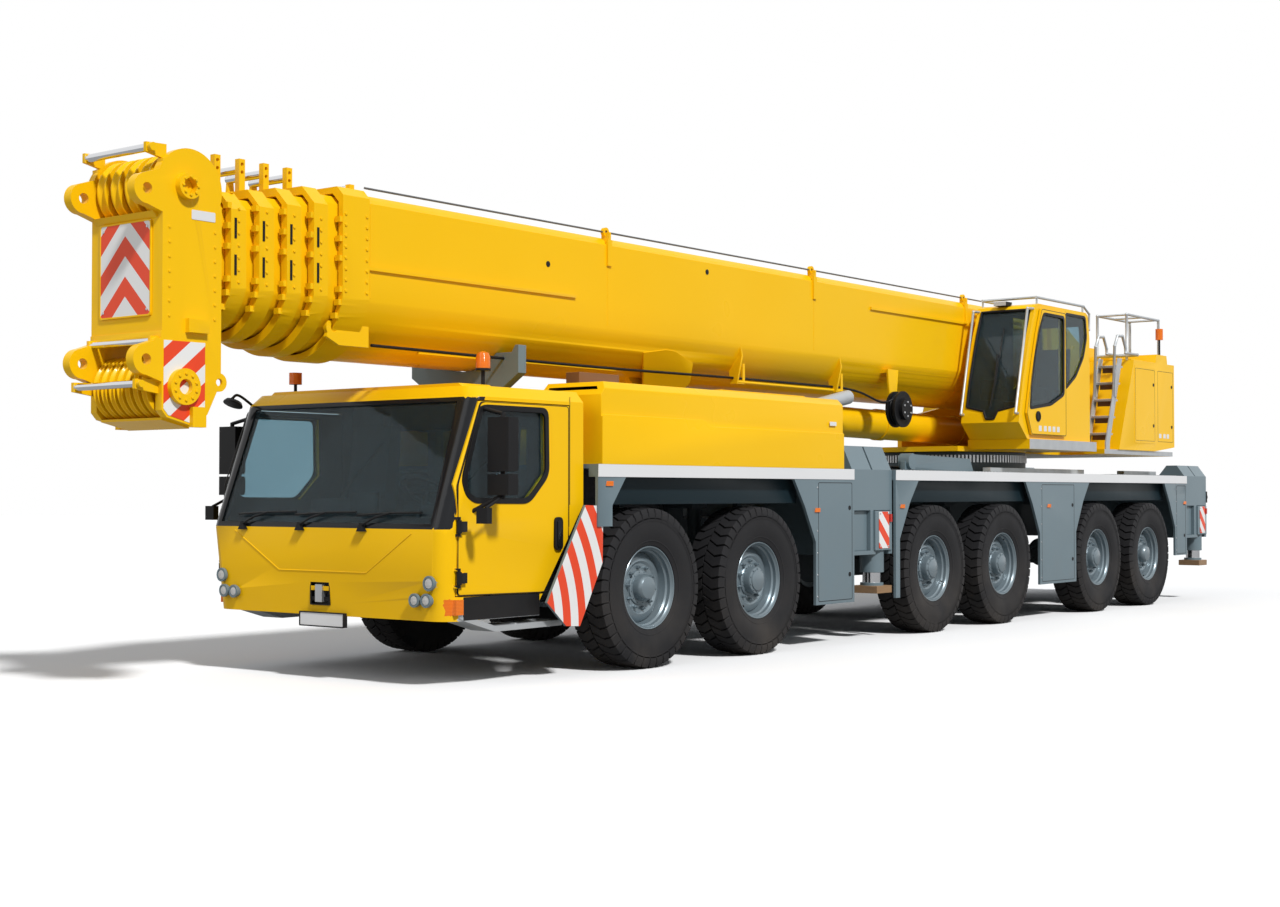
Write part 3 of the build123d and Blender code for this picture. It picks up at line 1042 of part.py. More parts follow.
def head_rollers():
    """Rope rollers across the front of the head with the arms that hold them."""
    pieces = []
    for y, z, radius, reach in HEAD_ROLLERS:
        pieces.append(rod_x(y, z, radius, (-HEAD_X[0] - 10, HEAD_X[1])))
        arm = side_prism([(y - reach, z - 34), (y - reach, z + 34), (HEAD_FRONT_Y + 60, z + 40),
                          (HEAD_FRONT_Y + 60, z - 70)], (HEAD_X[0], HEAD_X[0] + 30))
        pieces.append(twin(arm))
    return pieces


def sheave(x, axle, radius, width):
    """One grooved sheave on the row's shaft."""
    y, z = axle
    half = width / 2
    profile = [(-half, SHEAVE_SHAFT_R - 5), (-half, SHEAVE_SHAFT_R + 25), (-half * 0.4, SHEAVE_SHAFT_R + 35),
               (-half * 0.4, radius - 60), (-half, radius - 40), (-half, radius), (-half * 0.7, radius),
               (0, radius - 28), (half * 0.7, radius), (half, radius), (half, radius - 40),
               (half * 0.4, radius - 60), (half * 0.4, SHEAVE_SHAFT_R + 35), (half, SHEAVE_SHAFT_R + 25),
               (half, SHEAVE_SHAFT_R - 5)]
    face = Face(Wire.make_polygon([(x + a, y, z + r) for a, r in profile], close=True))
    return Solid.revolve(face, 360, Axis((0, y, z), (1, 0, 0)))


def sheave_row(axle, radius, count):
    """A row of sheaves on one shaft across the boom head."""
    width = 2 * (HEAD_X[0] - 15)
    pitch = width / count
    pieces = [rod_x(*axle, SHEAVE_SHAFT_R, (-HEAD_X[1], HEAD_X[1]))]
    for index in range(count):
        pieces.append(sheave(-width / 2 + (index + 0.5) * pitch, axle, radius, pitch * 0.62))
    return fused(pieces)


# ---------------------------------------------------------------- write every node
os.makedirs("parts", exist_ok=True)
save("chassis_frame", chassis_frame())
save("axle_beams", Compound([axle_beam(y, number != FIXED_AXLE).solid() for number, y in enumerate(AXLE_Y, 1)]))
left_deck = fender_deck()
save("fender_deck_left", left_deck)
save("fender_deck_right", mirror(left_deck, about=Plane.YZ))
walls = cab_walls()
save("cab_shell", cab_shell(walls))
save("cab_glass", cab_glass())
save("cab_interior", cab_interior())
left_door = cab_door(walls)
save("cab_door_left", left_door)
save("cab_door_right", mirror(left_door, about=Plane.YZ))
save("engine_cover", engine_cover())
save("engine_block", engine_block())
save("boom_rest", boom_rest())
save("slew_ring", slew_ring())

for end, box_y in (("front", FRONT_BOX_Y), ("rear", REAR_BOX_Y)):
    for side, left in (("left", True), ("right", False)):
        save(f"outrigger_beam_{end}_{side}", outrigger_beam(box_y, left))
        save(f"outrigger_jack_{end}_{side}", outrigger_jack(box_y, left))

plain_wheel = wheel()
for number, y in enumerate(AXLE_Y, 1):
    left_wheel = plain_wheel.moved(Location((WHEEL_X, y, AXLE_Z)))
    save(f"wheel_{number}l", left_wheel)
    save(f"wheel_{number}r", mirror(left_wheel, about=Plane.YZ))
    if number != FIXED_AXLE:
        left_knuckle = knuckle(y)
        save(f"knuckle_{number}l", left_knuckle)
        save(f"knuckle_{number}r", mirror(left_knuckle, about=Plane.YZ))

save("turntable_frame", turntable_frame())
save("engine_housing", engine_housing())
save("winch", winch())
save("ladder_rails", ladder_rails())
save("crane_cab_shell", crane_cab_shell())
save("crane_cab_glass", crane_cab_glass())
save("crane_cab_seat", crane_cab_seat())
save("crane_cab_door", crane_cab_door())
save("luff_barrel", luff_barrel())
save("luff_rod", luff_rod())
save("boom_base", boom_base())
for index in range(1, TELE_COUNT + 1):
    save(f"boom_tele_{index}", boom_tele(index))
save("head_pulleys", Compound([sheave_row(UPPER_AXLE, UPPER_SHEAVE_R, 4).solid(),
                               sheave_row(LOWER_AXLE, LOWER_SHEAVE_R, 7).solid()]))
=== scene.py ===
"""Looks of a six-axle mobile crane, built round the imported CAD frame.

Every length is in metres in the row frame: +Z up, the front faces -Y, +X is the vehicle's left.
Places along the vehicle are stations from the first axle, as in the part's source; Plan.at()
turns a station into a row Y.
"""

from __future__ import annotations

import logging
import math
from dataclasses import dataclass
from enum import Enum
from typing import Callable, Iterable, Sequence

import bmesh
import bpy
from mathutils import Matrix, Vector

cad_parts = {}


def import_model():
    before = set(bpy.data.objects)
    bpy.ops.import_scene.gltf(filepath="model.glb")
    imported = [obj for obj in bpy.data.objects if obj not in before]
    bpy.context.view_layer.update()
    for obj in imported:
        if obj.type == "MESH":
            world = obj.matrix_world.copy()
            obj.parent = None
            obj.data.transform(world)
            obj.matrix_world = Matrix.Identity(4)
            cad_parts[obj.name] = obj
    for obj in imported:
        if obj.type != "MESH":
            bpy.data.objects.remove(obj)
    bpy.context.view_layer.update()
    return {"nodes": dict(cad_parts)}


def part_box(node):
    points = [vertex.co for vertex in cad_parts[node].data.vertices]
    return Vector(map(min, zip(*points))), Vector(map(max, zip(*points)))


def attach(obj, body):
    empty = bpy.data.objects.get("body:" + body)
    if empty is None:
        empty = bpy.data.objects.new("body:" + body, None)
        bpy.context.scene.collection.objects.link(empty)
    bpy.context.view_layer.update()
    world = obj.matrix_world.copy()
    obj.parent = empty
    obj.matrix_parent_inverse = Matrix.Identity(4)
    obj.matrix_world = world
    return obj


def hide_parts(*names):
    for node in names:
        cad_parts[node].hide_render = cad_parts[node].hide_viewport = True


LOG = logging.getLogger("crane")

Point = Sequence[float]
Span = tuple[float, float]
Colour = tuple[float, float, float]
Profile = tuple[Span, ...]


class Side(Enum):
    """The vehicle's left (+X) or right (-X)."""

    LEFT = 1
    RIGHT = -1


class Slot(Enum):
    """The record's material slots."""

    YELLOW = "yellow_paint"
    GREY = "grey_paint"
    TYRE = "tyre"
    GLASS = "glass"
    TRIM = "dark_trim"
    IRON = "cast_iron"
    STEEL = "steel"
    FABRIC = "seat_fabric"
    CHROME = "chrome"


# -------- shader groups
DUST = (0.20, 0.17, 0.14)


class Wiring:
    """Adds and links the nodes of one shader, shader group or geometry tree."""

    def __init__(self, tree: bpy.types.NodeTree) -> None:
        """Start with an empty tree.

        Args:
            tree: The node tree to fill.
        """
        self.tree = tree
        tree.nodes.clear()

    def add(self, kind: str, settings: dict | None = None, **inputs: object) -> bpy.types.Node:
        """Add one node.

        Args:
            kind: The node's type, with any leading "ShaderNode" left out.
            settings: Properties to set on the node.
            **inputs: Values or output sockets for its inputs, by name with _ for a space.

        Returns:
            The new node.
        """
        name = kind if kind.startswith(("Node", "Geometry")) else "ShaderNode" + kind
        node = self.tree.nodes.new(name)
        for key, value in (settings or {}).items():
            setattr(node, key, value)
        for key, value in inputs.items():
            socket = self.socket(node, key)
            if isinstance(value, bpy.types.NodeSocket):
                self.tree.links.new(value, socket)
            else:
                socket.default_value = value
        return node

    @staticmethod
    def socket(node: bpy.types.Node, key: str) -> bpy.types.NodeSocket:
        """Return a node's enabled input by its name, or by number where the key is i0, i1...

        Args:
            node: The node.
            key: The input's name with _ for a space, or i and its number.

        Returns:
            The input socket.
        """
        if key[0] == "i" and key[1:].isdigit():
            return node.inputs[int(key[1:])]
        name = key.replace("_", " ")
        return next(s for s in node.inputs if s.name == name and s.enabled)

    def mix(self, share: object, first: object, second: object, blend: str = "MIX") -> bpy.types.NodeSocket:
        """Mix two colours and return the result's socket.

        Args:
            share: How much of the second colour there is.
            first: A colour or a socket.
            second: A colour or a socket.
            blend: How the two are blended.

        Returns:
            The result's socket.
        """
        node = self.tree.nodes.new("ShaderNodeMix")
        node.data_type = "RGBA"
        node.blend_type = blend
        for socket, value in ((node.inputs[0], share), (node.inputs[6], first), (node.inputs[7], second)):
            if isinstance(value, bpy.types.NodeSocket):
                self.tree.links.new(value, socket)
            else:
                socket.default_value = value
        return node.outputs[2]


def rgba(colour: Colour) -> tuple[float, float, float, float]:
    """Return a colour with full alpha."""
    return (*colour, 1.0)


def shader_group(name: str, inputs: dict[str, tuple[str, object]], outputs: dict[str, str],
                 fill: Callable[[Wiring, bpy.types.Node], dict]) -> bpy.types.NodeTree:
    """Build a shader group once and return it.

    Args:
        name: The group's name.
        inputs: Type and default of each input, by name.
        outputs: Type of each output, by name.
        fill: Adds the nodes and returns the socket that feeds each output.

    Returns:
        The node group.
    """
    found = bpy.data.node_groups.get(name)
    if found:
        return found
    tree = bpy.data.node_groups.new(name, "ShaderNodeTree")
    wiring = Wiring(tree)
    for key, (kind, default) in inputs.items():
        socket = tree.interface.new_socket(key, in_out="INPUT", socket_type="NodeSocket" + kind)
        socket.default_value = default
    for key, kind in outputs.items():
        tree.interface.new_socket(key, in_out="OUTPUT", socket_type="NodeSocket" + kind)
    entry = wiring.add("NodeGroupInput")
    results = fill(wiring, entry)
    leave = wiring.add("NodeGroupOutput")
    for key, socket in results.items():
        tree.links.new(socket, leave.inputs[key])
    return tree


def mottle_group() -> bpy.types.NodeTree:
    """Slow change of tone over a painted or moulded surface, with fine grain for its gloss.

    Returns:
        The group.
    """

    def fill(w: Wiring, entry: bpy.types.Node) -> dict:
        """Add the nodes and return what feeds each output."""
        place = w.add("TexCoord").outputs["Object"]
        wide = w.add("TexNoise", Vector=place, Scale=entry.outputs["Scale"], Detail=3.0)
        fine = w.add("TexNoise", Vector=place, Scale=entry.outputs["Grain Scale"], Detail=2.0)
        share = w.add("Math", {"operation": "MULTIPLY"}, i0=wide.outputs[0], i1=entry.outputs["Amount"])
        colour = w.mix(share.outputs[0], entry.outputs["Colour"], entry.outputs["Tone"])
        gloss = w.add("MapRange", Value=wide.outputs[0], From_Min=0.3, From_Max=0.7,
                      To_Min=entry.outputs["Smooth"], To_Max=entry.outputs["Rough"])
        return {"Colour": colour, "Roughness": gloss.outputs[0], "Height": fine.outputs[0]}

    return shader_group(
        "tone_and_grain",
        {"Colour": ("Color", (0.5, 0.5, 0.5, 1)), "Tone": ("Color", (0.4, 0.4, 0.4, 1)),
         "Amount": ("Float", 0.5), "Scale": ("Float", 1.0), "Grain Scale": ("Float", 200.0),
         "Smooth": ("Float", 0.3), "Rough": ("Float", 0.4)},
        {"Colour": "Color", "Roughness": "Float", "Height": "Float"}, fill)


def dust_group() -> bpy.types.NodeTree:
    """Road dust that thins out with height above the ground.

    Returns:
        The group.
    """

    def fill(w: Wiring, entry: bpy.types.Node) -> dict:
        """Add the nodes and return what feeds each output."""
        place = w.add("TexCoord").outputs["Object"]
        z = w.add("SeparateXYZ", Vector=place).outputs["Z"]
        low = w.add("MapRange", Value=z, From_Min=entry.outputs["Top"], From_Max=0.0, To_Min=0.0, To_Max=1.0)
        cloud = w.add("TexNoise", Vector=place, Scale=2.3, Detail=6.0)
        patch = w.add("MapRange", Value=cloud.outputs[0], From_Min=0.35, From_Max=0.75,
                      To_Min=0.0, To_Max=1.0)
        both = w.add("Math", {"operation": "MULTIPLY"}, i0=low.outputs[0], i1=patch.outputs[0])
        mask = w.add("Math", {"operation": "MULTIPLY"}, i0=both.outputs[0], i1=entry.outputs["Amount"])
        colour = w.mix(mask.outputs[0], entry.outputs["Colour"], rgba(DUST))
        return {"Colour": colour, "Mask": mask.outputs[0]}

    return shader_group(
        "road_dust",
        {"Colour": ("Color", (0.5, 0.5, 0.5, 1)), "Top": ("Float", 1.2), "Amount": ("Float", 0.4)},
        {"Colour": "Color", "Mask": "Float"}, fill)


# -------- finishes
# how dark a finish's second tone is against its first, and how strongly the two mix
TONE = 0.86
STRIPE_TONE = 0.88
TONE_AMOUNT = 0.6
# depth in metres that a bump of full height stands for
BUMP_DEPTH = 0.002
# how much rougher full dust makes a surface, and how rough a clear coat is
DUST_ROUGHNESS = 0.4
COAT_ROUGHNESS = 0.08


@dataclass(frozen=True)
class Finish:
    """A painted, moulded or metal surface."""

    name: str
    slot: Slot
    colour: Colour
    tone: Colour | None = None
    smooth: float = 0.3
    rough: float = 0.42
    metallic: float = 0.0
    coat: float = 0.0
    specular: float = 0.3
    scale: float = 0.9
    grain_scale: float = 180.0
    bump: float = 0.02
    dust: float = 0.25
    dust_top: float = 1.3

    def material(self) -> bpy.types.Material:
        """Return this finish's material, building it on the first call."""
        return bpy.data.materials.get(self.name) or self.build()

    def start(self) -> tuple[bpy.types.Material, Wiring, bpy.types.Node]:
        """Make the material with its shader and return the material, its wiring and the shader.

        Returns:
            The material, its wiring and the shader.
        """
        made = bpy.data.materials.new(self.name)
        made.use_nodes = True
        made.diffuse_color = rgba(self.colour)
        w = Wiring(made.node_tree)
        shader = w.add("BsdfPrincipled", Metallic=self.metallic, Coat_Weight=self.coat,
                       Coat_Roughness=COAT_ROUGHNESS, Specular_IOR_Level=self.specular)
        w.add("OutputMaterial", Surface=shader.outputs[0])
        return made, w, shader

    def dress(self, w: Wiring, shader: bpy.types.Node, colour: object) -> None:
        """Feed a colour to the shader through the tone, grain and dust groups.

        Args:
            w: The material's wiring.
            shader: Its Principled shader.
            colour: A colour or the socket that gives one.
        """
        tone = rgba(self.tone or tuple(c * TONE for c in self.colour))
        if isinstance(colour, bpy.types.NodeSocket):
            tone = w.mix(1.0, colour, rgba((STRIPE_TONE,) * 3), "MULTIPLY")
        grain = w.add("Group", {"node_tree": mottle_group()}, Colour=colour, Tone=tone, Amount=TONE_AMOUNT,
                      Scale=self.scale, Grain_Scale=self.grain_scale, Smooth=self.smooth, Rough=self.rough)
        film = w.add("Group", {"node_tree": dust_group()}, Colour=grain.outputs["Colour"],
                     Top=self.dust_top, Amount=self.dust)
        gloss = w.add("Math", {"operation": "MULTIPLY_ADD"}, i0=film.outputs["Mask"], i1=DUST_ROUGHNESS,
                      i2=grain.outputs["Roughness"])
        bump = w.add("Bump", Strength=self.bump, Distance=BUMP_DEPTH, Height=grain.outputs["Height"])
        w.tree.links.new(film.outputs["Colour"], shader.inputs["Base Color"])
        w.tree.links.new(gloss.outputs[0], shader.inputs["Roughness"])
        w.tree.links.new(bump.outputs[0], shader.inputs["Normal"])

    def build(self) -> bpy.types.Material:
        """Build the material.

        Returns:
            The new material.
        """
        made, w, shader = self.start()
        self.dress(w, shader, rgba(self.colour))
        return made


@dataclass(frozen=True)
class Stripes(Finish):
    """Red bands on white, slanted or meeting in chevrons."""

    band: Colour = (0.80, 0.065, 0.018)
    pitch: float = 0.26
    slope: Point = (0.0, 0.7, 0.7)
    mirrored: bool = False
    share: float = 0.5
    phase: float = 0.0
    # a point on the axis along X that the bands turn about, where they are arcs
    axis: Point | None = None

    def build(self) -> bpy.types.Material:
        """Build the material.

        Returns:
            The new material.
        """
        made, w, shader = self.start()
        place = w.add("SeparateXYZ", Vector=w.add("TexCoord").outputs["Object"])
        x = place.outputs["X"]
        if self.mirrored:
            x = w.add("Math", {"operation": "ABSOLUTE"}, i0=x).outputs[0]
        folded = w.add("CombineXYZ", X=x, Y=place.outputs["Y"], Z=place.outputs["Z"])
        along = w.add("VectorMath", {"operation": "DOT_PRODUCT"}, i0=folded.outputs[0], i1=tuple(self.slope))
        if self.axis:
            flat = w.add("VectorMath", {"operation": "MULTIPLY"}, i0=folded.outputs[0], i1=(0.0, 1.0, 1.0))
            along = w.add("VectorMath", {"operation": "DISTANCE"}, i0=flat.outputs[0], i1=tuple(self.axis))
        steps = w.add("Math", {"operation": "MULTIPLY_ADD"}, i0=along.outputs["Value"], i1=1.0 / self.pitch,
                      i2=self.phase)
        part = w.add("Math", {"operation": "FRACT"}, i0=steps.outputs[0])
        mask = w.add("Math", {"operation": "LESS_THAN"}, i0=part.outputs[0], i1=self.share)
        self.dress(w, shader, w.mix(mask.outputs[0], rgba(self.colour), rgba(self.band)))
        return made


@dataclass(frozen=True)
class Glazing(Finish):
    """Tinted window glass."""

    def build(self) -> bpy.types.Material:
        """Build the material.

        Returns:
            The new material.
        """
        made, w, shader = self.start()
        shader.inputs["Transmission Weight"].default_value = 0.97
        shader.inputs["IOR"].default_value = 1.22
        place = w.add("TexCoord").outputs["Object"]
        cloud = w.add("TexNoise", Vector=place, Scale=1.2, Detail=2.0)
        tint = w.mix(cloud.outputs[0], rgba(self.colour), rgba(self.tone or self.colour))
        gloss = w.add("MapRange", Value=cloud.outputs[0], From_Min=0.3, From_Max=0.7,
                      To_Min=0.02, To_Max=0.05)
        w.tree.links.new(tint, shader.inputs["Base Color"])
        w.tree.links.new(gloss.outputs[0], shader.inputs["Roughness"])
        return made


@dataclass(frozen=True)
class Lens(Finish):
    """Ribbed lamp glass, clear or coloured."""

    def build(self) -> bpy.types.Material:
        """Build the material.

        Returns:
            The new material.
        """
        made, w, shader = self.start()
        place = w.add("TexCoord").outputs["Object"]
        ribs = w.add("TexWave", {"bands_direction": "Z"}, Vector=place, Scale=30.0)
        tint = w.mix(ribs.outputs[1], rgba(self.colour), rgba(self.tone or self.colour))
        bump = w.add("Bump", Strength=0.4, Distance=BUMP_DEPTH, Height=ribs.outputs[1])
        w.tree.links.new(tint, shader.inputs["Base Color"])
        w.tree.links.new(bump.outputs[0], shader.inputs["Normal"])
        shader.inputs["Roughness"].default_value = 0.12
        return made


@dataclass(frozen=True)
class Timber(Finish):
    """Sawn hardwood or brown board, with its grain along Y."""

    def build(self) -> bpy.types.Material:
        """Build the material.

        Returns:
            The new material.
        """
        made, w, shader = self.start()
        place = w.add("TexCoord").outputs["Object"]
        stretched = w.add("Mapping", Vector=place, Scale=(9.0, 1.2, 14.0))
        grain = w.add("TexNoise", Vector=stretched.outputs[0], Scale=3.0, Detail=5.0)
        self.dress(w, shader, w.mix(grain.outputs[0], rgba(self.colour), rgba(self.tone or self.colour)))
        return made


SIGN_WHITE = (0.80, 0.80, 0.79)
YELLOW = Finish("crane_yellow", Slot.YELLOW, (0.90, 0.53, 0.004), (0.86, 0.47, 0.003), 0.26, 0.36,
                coat=0.05, specular=0.12, dust=0.08)
GREY = Finish("chassis_grey", Slot.GREY, (0.150, 0.205, 0.232), (0.125, 0.172, 0.196), 0.34, 0.46, coat=0.15)
# the deck's grey at about 0.4 of its strength: painted shade for the parts under the deck, with road dust on
# it
SHADED_UNDER_GREY = Finish("underside_grey", Slot.GREY, (0.060, 0.078, 0.088), rough=0.6, dust=0.5)
# the valances' own dark paint, deepened to a near-black blue as painted shade from the deck's edge above them
SHADED_VALANCE = Finish("valance_dark", Slot.GREY, (0.011, 0.022, 0.028), rough=0.5, specular=0.12, dust=0.08)
RAIL_WHITE = Finish("rail_white", Slot.GREY, (0.74, 0.745, 0.75), rough=0.42, dust=0.12)
RIM_GREY = Finish("rim_silver_grey", Slot.TYRE, (0.19, 0.24, 0.27), (0.15, 0.19, 0.21), 0.22, 0.34,
                  metallic=0.35, coat=0.2, dust=0.2)
RUBBER = Finish("tyre_rubber", Slot.TYRE, (0.017, 0.017, 0.019), (0.024, 0.023, 0.023), 0.55, 0.72,
                specular=0.15, scale=4.0, grain_scale=90.0, bump=0.12, dust=0.22, dust_top=0.9)
BLACK = Finish("black_moulding", Slot.TRIM, (0.011, 0.011, 0.012), rough=0.55, specular=0.15, bump=0.06,
               dust=0.06)
CABIN_DARK = Finish("cabin_dark", Slot.TRIM, (0.016, 0.020, 0.023), rough=0.7, specular=0.08, bump=0.05,
                    dust=0.0)
IRON = Finish("engine_iron", Slot.IRON, (0.10, 0.10, 0.11), rough=0.7, bump=0.15)
STEEL = Finish("bare_steel", Slot.STEEL, (0.52, 0.53, 0.54), (0.42, 0.43, 0.45), 0.25, 0.42, metallic=0.85,
               grain_scale=60.0, dust=0.1)
GALVANISED = Finish("galvanised", Slot.STEEL, (0.50, 0.52, 0.53), (0.40, 0.42, 0.44), 0.35, 0.55,
                    metallic=0.55, scale=6.0, dust=0.1)
CHROME = Finish("chrome_rod", Slot.CHROME, (0.72, 0.73, 0.75), smooth=0.08, rough=0.16, metallic=1.0,
                bump=0.0)
SEAT = Finish("seat_cloth", Slot.FABRIC, (0.035, 0.036, 0.040), rough=0.9, smooth=0.8, grain_scale=420.0,
              bump=0.4, dust=0.0)
GLASS = Glazing("window_glass", Slot.GLASS, (0.38, 0.52, 0.57), (0.33, 0.47, 0.53), specular=0.12)
CLEAR_LENS = Lens("lamp_clear", Slot.GLASS, (0.62, 0.62, 0.60), (0.40, 0.40, 0.40))
AMBER_LENS = Lens("lamp_amber", Slot.GLASS, (0.85, 0.20, 0.01), (0.70, 0.14, 0.01))
RED_LENS = Lens("lamp_red", Slot.GLASS, (0.55, 0.02, 0.01), (0.40, 0.01, 0.01))
TIMBER = Timber("outrigger_timber", Slot.STEEL, (0.36, 0.22, 0.11), (0.22, 0.13, 0.07), rough=0.8)
GLOSS_BLACK = Finish("gloss_black", Slot.TRIM, (0.009, 0.010, 0.012), smooth=0.14, rough=0.24, coat=0.06,
                     specular=0.18, bump=0.0, dust=0.03)
ROPE = Finish("wire_rope", Slot.STEEL, (0.16, 0.16, 0.165), rough=0.5, metallic=0.6, grain_scale=300.0,
              dust=0.0)
BROWN = Finish("brown_tread", Slot.STEEL, (0.20, 0.095, 0.040), rough=0.6, grain_scale=120.0, dust=0.1)
CHEVRONS = Stripes("head_chevrons", Slot.GREY, SIGN_WHITE, pitch=0.29, slope=(0.95, 0.0, 1.0), mirrored=True,
                   phase=0.98, dust=0.05)
HEAD_BANDS = Stripes("head_bands", Slot.GREY, SIGN_WHITE, pitch=0.20, slope=(0.0, -0.64, 0.77), dust=0.05)
GUARD_STRIPES = Stripes("guard_stripes", Slot.GREY, SIGN_WHITE, pitch=0.19, axis=(0.0, -6.75, 0.42), dust=0.1)
BEAM_STRIPES = Stripes("beam_stripes", Slot.GREY, SIGN_WHITE, pitch=0.17, slope=(0.0, 0.7, 0.7), dust=0.1)


# -------- outlines
def inset(outline: Sequence[Span], distance: float) -> list[Span]:
    """Return an outline with every edge moved inwards, or outwards by a negative distance.

    Args:
        outline: The corners.
        distance: How far its edges move.

    Returns:
        The new corners.
    """
    area = sum(a[0] * b[1] - b[0] * a[1] for a, b in zip(outline, [*outline[1:], outline[0]]))
    turn = 1.0 if area > 0 else -1.0
    made = []
    for i, corner in enumerate(outline):
        here = Vector(corner)
        before = (here - Vector(outline[i - 1])).normalized()
        after = (Vector(outline[(i + 1) % len(outline)]) - here).normalized()
        first = Vector((-before.y, before.x)) * turn
        middle = (first + Vector((-after.y, after.x)) * turn).normalized()
        made.append(tuple(here + middle * (distance / max(middle.dot(first), 0.3))))
    return made


def oblong(across: Span, up: Span) -> list[Span]:
    """Return the corners of a rectangle."""
    return [(across[0], up[0]), (across[1], up[0]), (across[1], up[1]), (across[0], up[1])]


def rounded(outline: Sequence[Span], radius: float, steps: int = 5) -> list[Span]:
    """Return an outline with its corners rounded.

    Args:
        outline: The corners.
        radius: How far before a corner its curve starts.
        steps: How many stretches a curve has.

    Returns:
        The new corners.
    """
    made = []
    for i, corner in enumerate(outline):
        here, before = Vector(corner), Vector(outline[i - 1])
        after = Vector(outline[(i + 1) % len(outline)])
        ends = []
        for other in (before, after):
            way = other - here
            ends.append(here + way.normalized() * min(radius, way.length * 0.45))
        for k in range(steps + 1):
            t = k / steps
            made.append(tuple(ends[0] * (1 - t) ** 2 + here * 2 * t * (1 - t) + ends[1] * t * t))
    return made


def curved(points: Sequence[Point], steps: int = 6) -> list[Vector]:
    """Return a smooth path through the points, for a hose.

    Args:
        points: Where the hose runs.
        steps: How many stretches lie between two points.

    Returns:
        The path's points.
    """
    path = [Vector(p) for p in points]
    path = [path[0] * 2 - path[1], *path, path[-1] * 2 - path[-2]]
    made = []
    for a, b, c, d in zip(path, path[1:], path[2:], path[3:]):
        for k in range(steps):
            t = k / steps
            made.append((b * 2 + (c - a) * t + (a * 2 - b * 5 + c * 4 - d) * t ** 2
                         + (b * 3 - a - c * 3 + d) * t ** 3) * 0.5)
    return [*made, path[-2]]


def level(table: Sequence[Span], at: float) -> float:
    """Return the value that a table of (place, value) pairs, in rising order, gives at a place.

    Args:
        table: The pairs.
        at: The place.

    Returns:
        The value, on a straight line between two pairs.
    """
    for (low, first), (high, second) in zip(table, table[1:]):
        if at <= high:
            return first + (second - first) * (at - low) / (high - low)
    return table[-1][1]


def circle(sides: int) -> list[Span]:
    """Return the cosine and sine of evenly spaced angles, one for each side of a round form."""
    return [(math.cos(2 * math.pi * i / sides), math.sin(2 * math.pi * i / sides)) for i in range(sides)]


def sided(side: int, near: float, far: float) -> Span:
    """Return a span across the vehicle, given as on its left, on the left (1) or the right (-1)."""
    return tuple(sorted((side * near, side * far)))


def outward(side: int) -> str:
    """Return the axis that points away from the vehicle on its left (1) or its right (-1)."""
    return "x" if side > 0 else "-x"


def lying(axis: str) -> Callable[[float, float, float], Point]:
    """Return a function from an outline's two coordinates and a place along an axis to a point."""
    ways = {"x": lambda a, b, t: (t, a, b), "y": lambda a, b, t: (a, t, b), "z": lambda a, b, t: (a, b, t)}
    return ways[axis]


# -------- zones of a node
ALL = (-math.inf, math.inf)
AHEAD = (0.0, -1.0, 0.0)
OUTWARDS = (1.0, 0.0, 0.0)
INWARDS = (-1.0, 0.0, 0.0)
DOWN = (0.0, 0.0, -1.0)


def above(low: float) -> Span:
    """Return the span of everything over a value."""
    return (low, math.inf)


def under(high: float) -> Span:
    """Return the span of everything below a value."""
    return (-math.inf, high)


@dataclass(frozen=True)
class Zone:
    """Faces of a node that share a finish: those in a box that face a given way.

    Attributes:
        finish: What the faces look like.
        x: Where their middles are across the vehicle.
        out: How far their middles are from the vehicle's middle line, on either side.
        station: Where their middles are along the vehicle.
        z: How high their middles are.
        facing: A direction that they face, given as on the vehicle's left, or None for any.
        least: The least share of their normal in that direction.
    """

    finish: Finish
    x: Span = ALL
    out: Span = ALL
    station: Span = ALL
    z: Span = ALL
    facing: Point | None = None
    least: float = 0.6

    def holds(self, place: Vector, normal: Vector) -> bool:
        """Say whether a face is in the zone.

        Args:
            place: The face's middle, with its station for y.
            normal: The face's normal.

        Returns:
            True where the face is in the zone.
        """
        side = 1.0 if place.x > 0 else -1.0
        turned = Vector((normal.x * side, normal.y, normal.z))
        if self.facing and turned.dot(Vector(self.facing)) <= self.least:
            return False
        pairs = ((self.x, place.x), (self.out, abs(place.x)), (self.station, place.y), (self.z, place.z))
        return all(low < value < high for (low, high), value in pairs)


@dataclass(frozen=True)
class Room(Zone):
    """The walls of a room where they look inwards, from its middle and half its size."""

    middle: Point = (0.0, 0.0, 0.0)
    half: Point = (1.0, 1.0, 1.0)
    slack: float = 0.004

    def holds(self, place: Vector, normal: Vector) -> bool:
        """Say whether a face is in the zone.

        Args:
            place: The face's middle, with its station for y.
            normal: The face's normal.

        Returns:
            True where the face is in the zone.
        """
        offset = Vector(self.middle) - place
        inside = all(abs(o) <= h + self.slack for o, h in zip(offset, self.half))
        return inside and normal.dot(offset) > 0.0


@dataclass(frozen=True)
class Bar(Zone):
    """A round form along X, from the station and height of its axis and its radius."""

    centre: Span = (0.0, 0.0)
    radius: float = 0.1

    def holds(self, place: Vector, normal: Vector) -> bool:
        """Say whether a face is in the zone."""
        station, z = self.centre
        return math.hypot(place.y - station, place.z - z) < self.radius and super().holds(place, normal)


@dataclass(frozen=True)
class Lamp(Zone):
    """A round form along Y on either side, from its axis's distance out, height and radius."""

    centre: Span = (0.0, 0.0)
    radius: float = 0.1

    def holds(self, place: Vector, normal: Vector) -> bool:
        """Say whether a face is in the zone."""
        out, z = self.centre
        return math.hypot(abs(place.x) - out, place.z - z) < self.radius and super().holds(place, normal)


@dataclass(frozen=True)
class Before(Zone):
    """What stands before a slanted front, given by (height, station) pairs."""

    line: Profile = ()
    clear: float = 0.004

    def holds(self, place: Vector, normal: Vector) -> bool:
        """Say whether a face is in the zone."""
        return place.y < level(self.line, place.z) - self.clear and super().holds(place, normal)


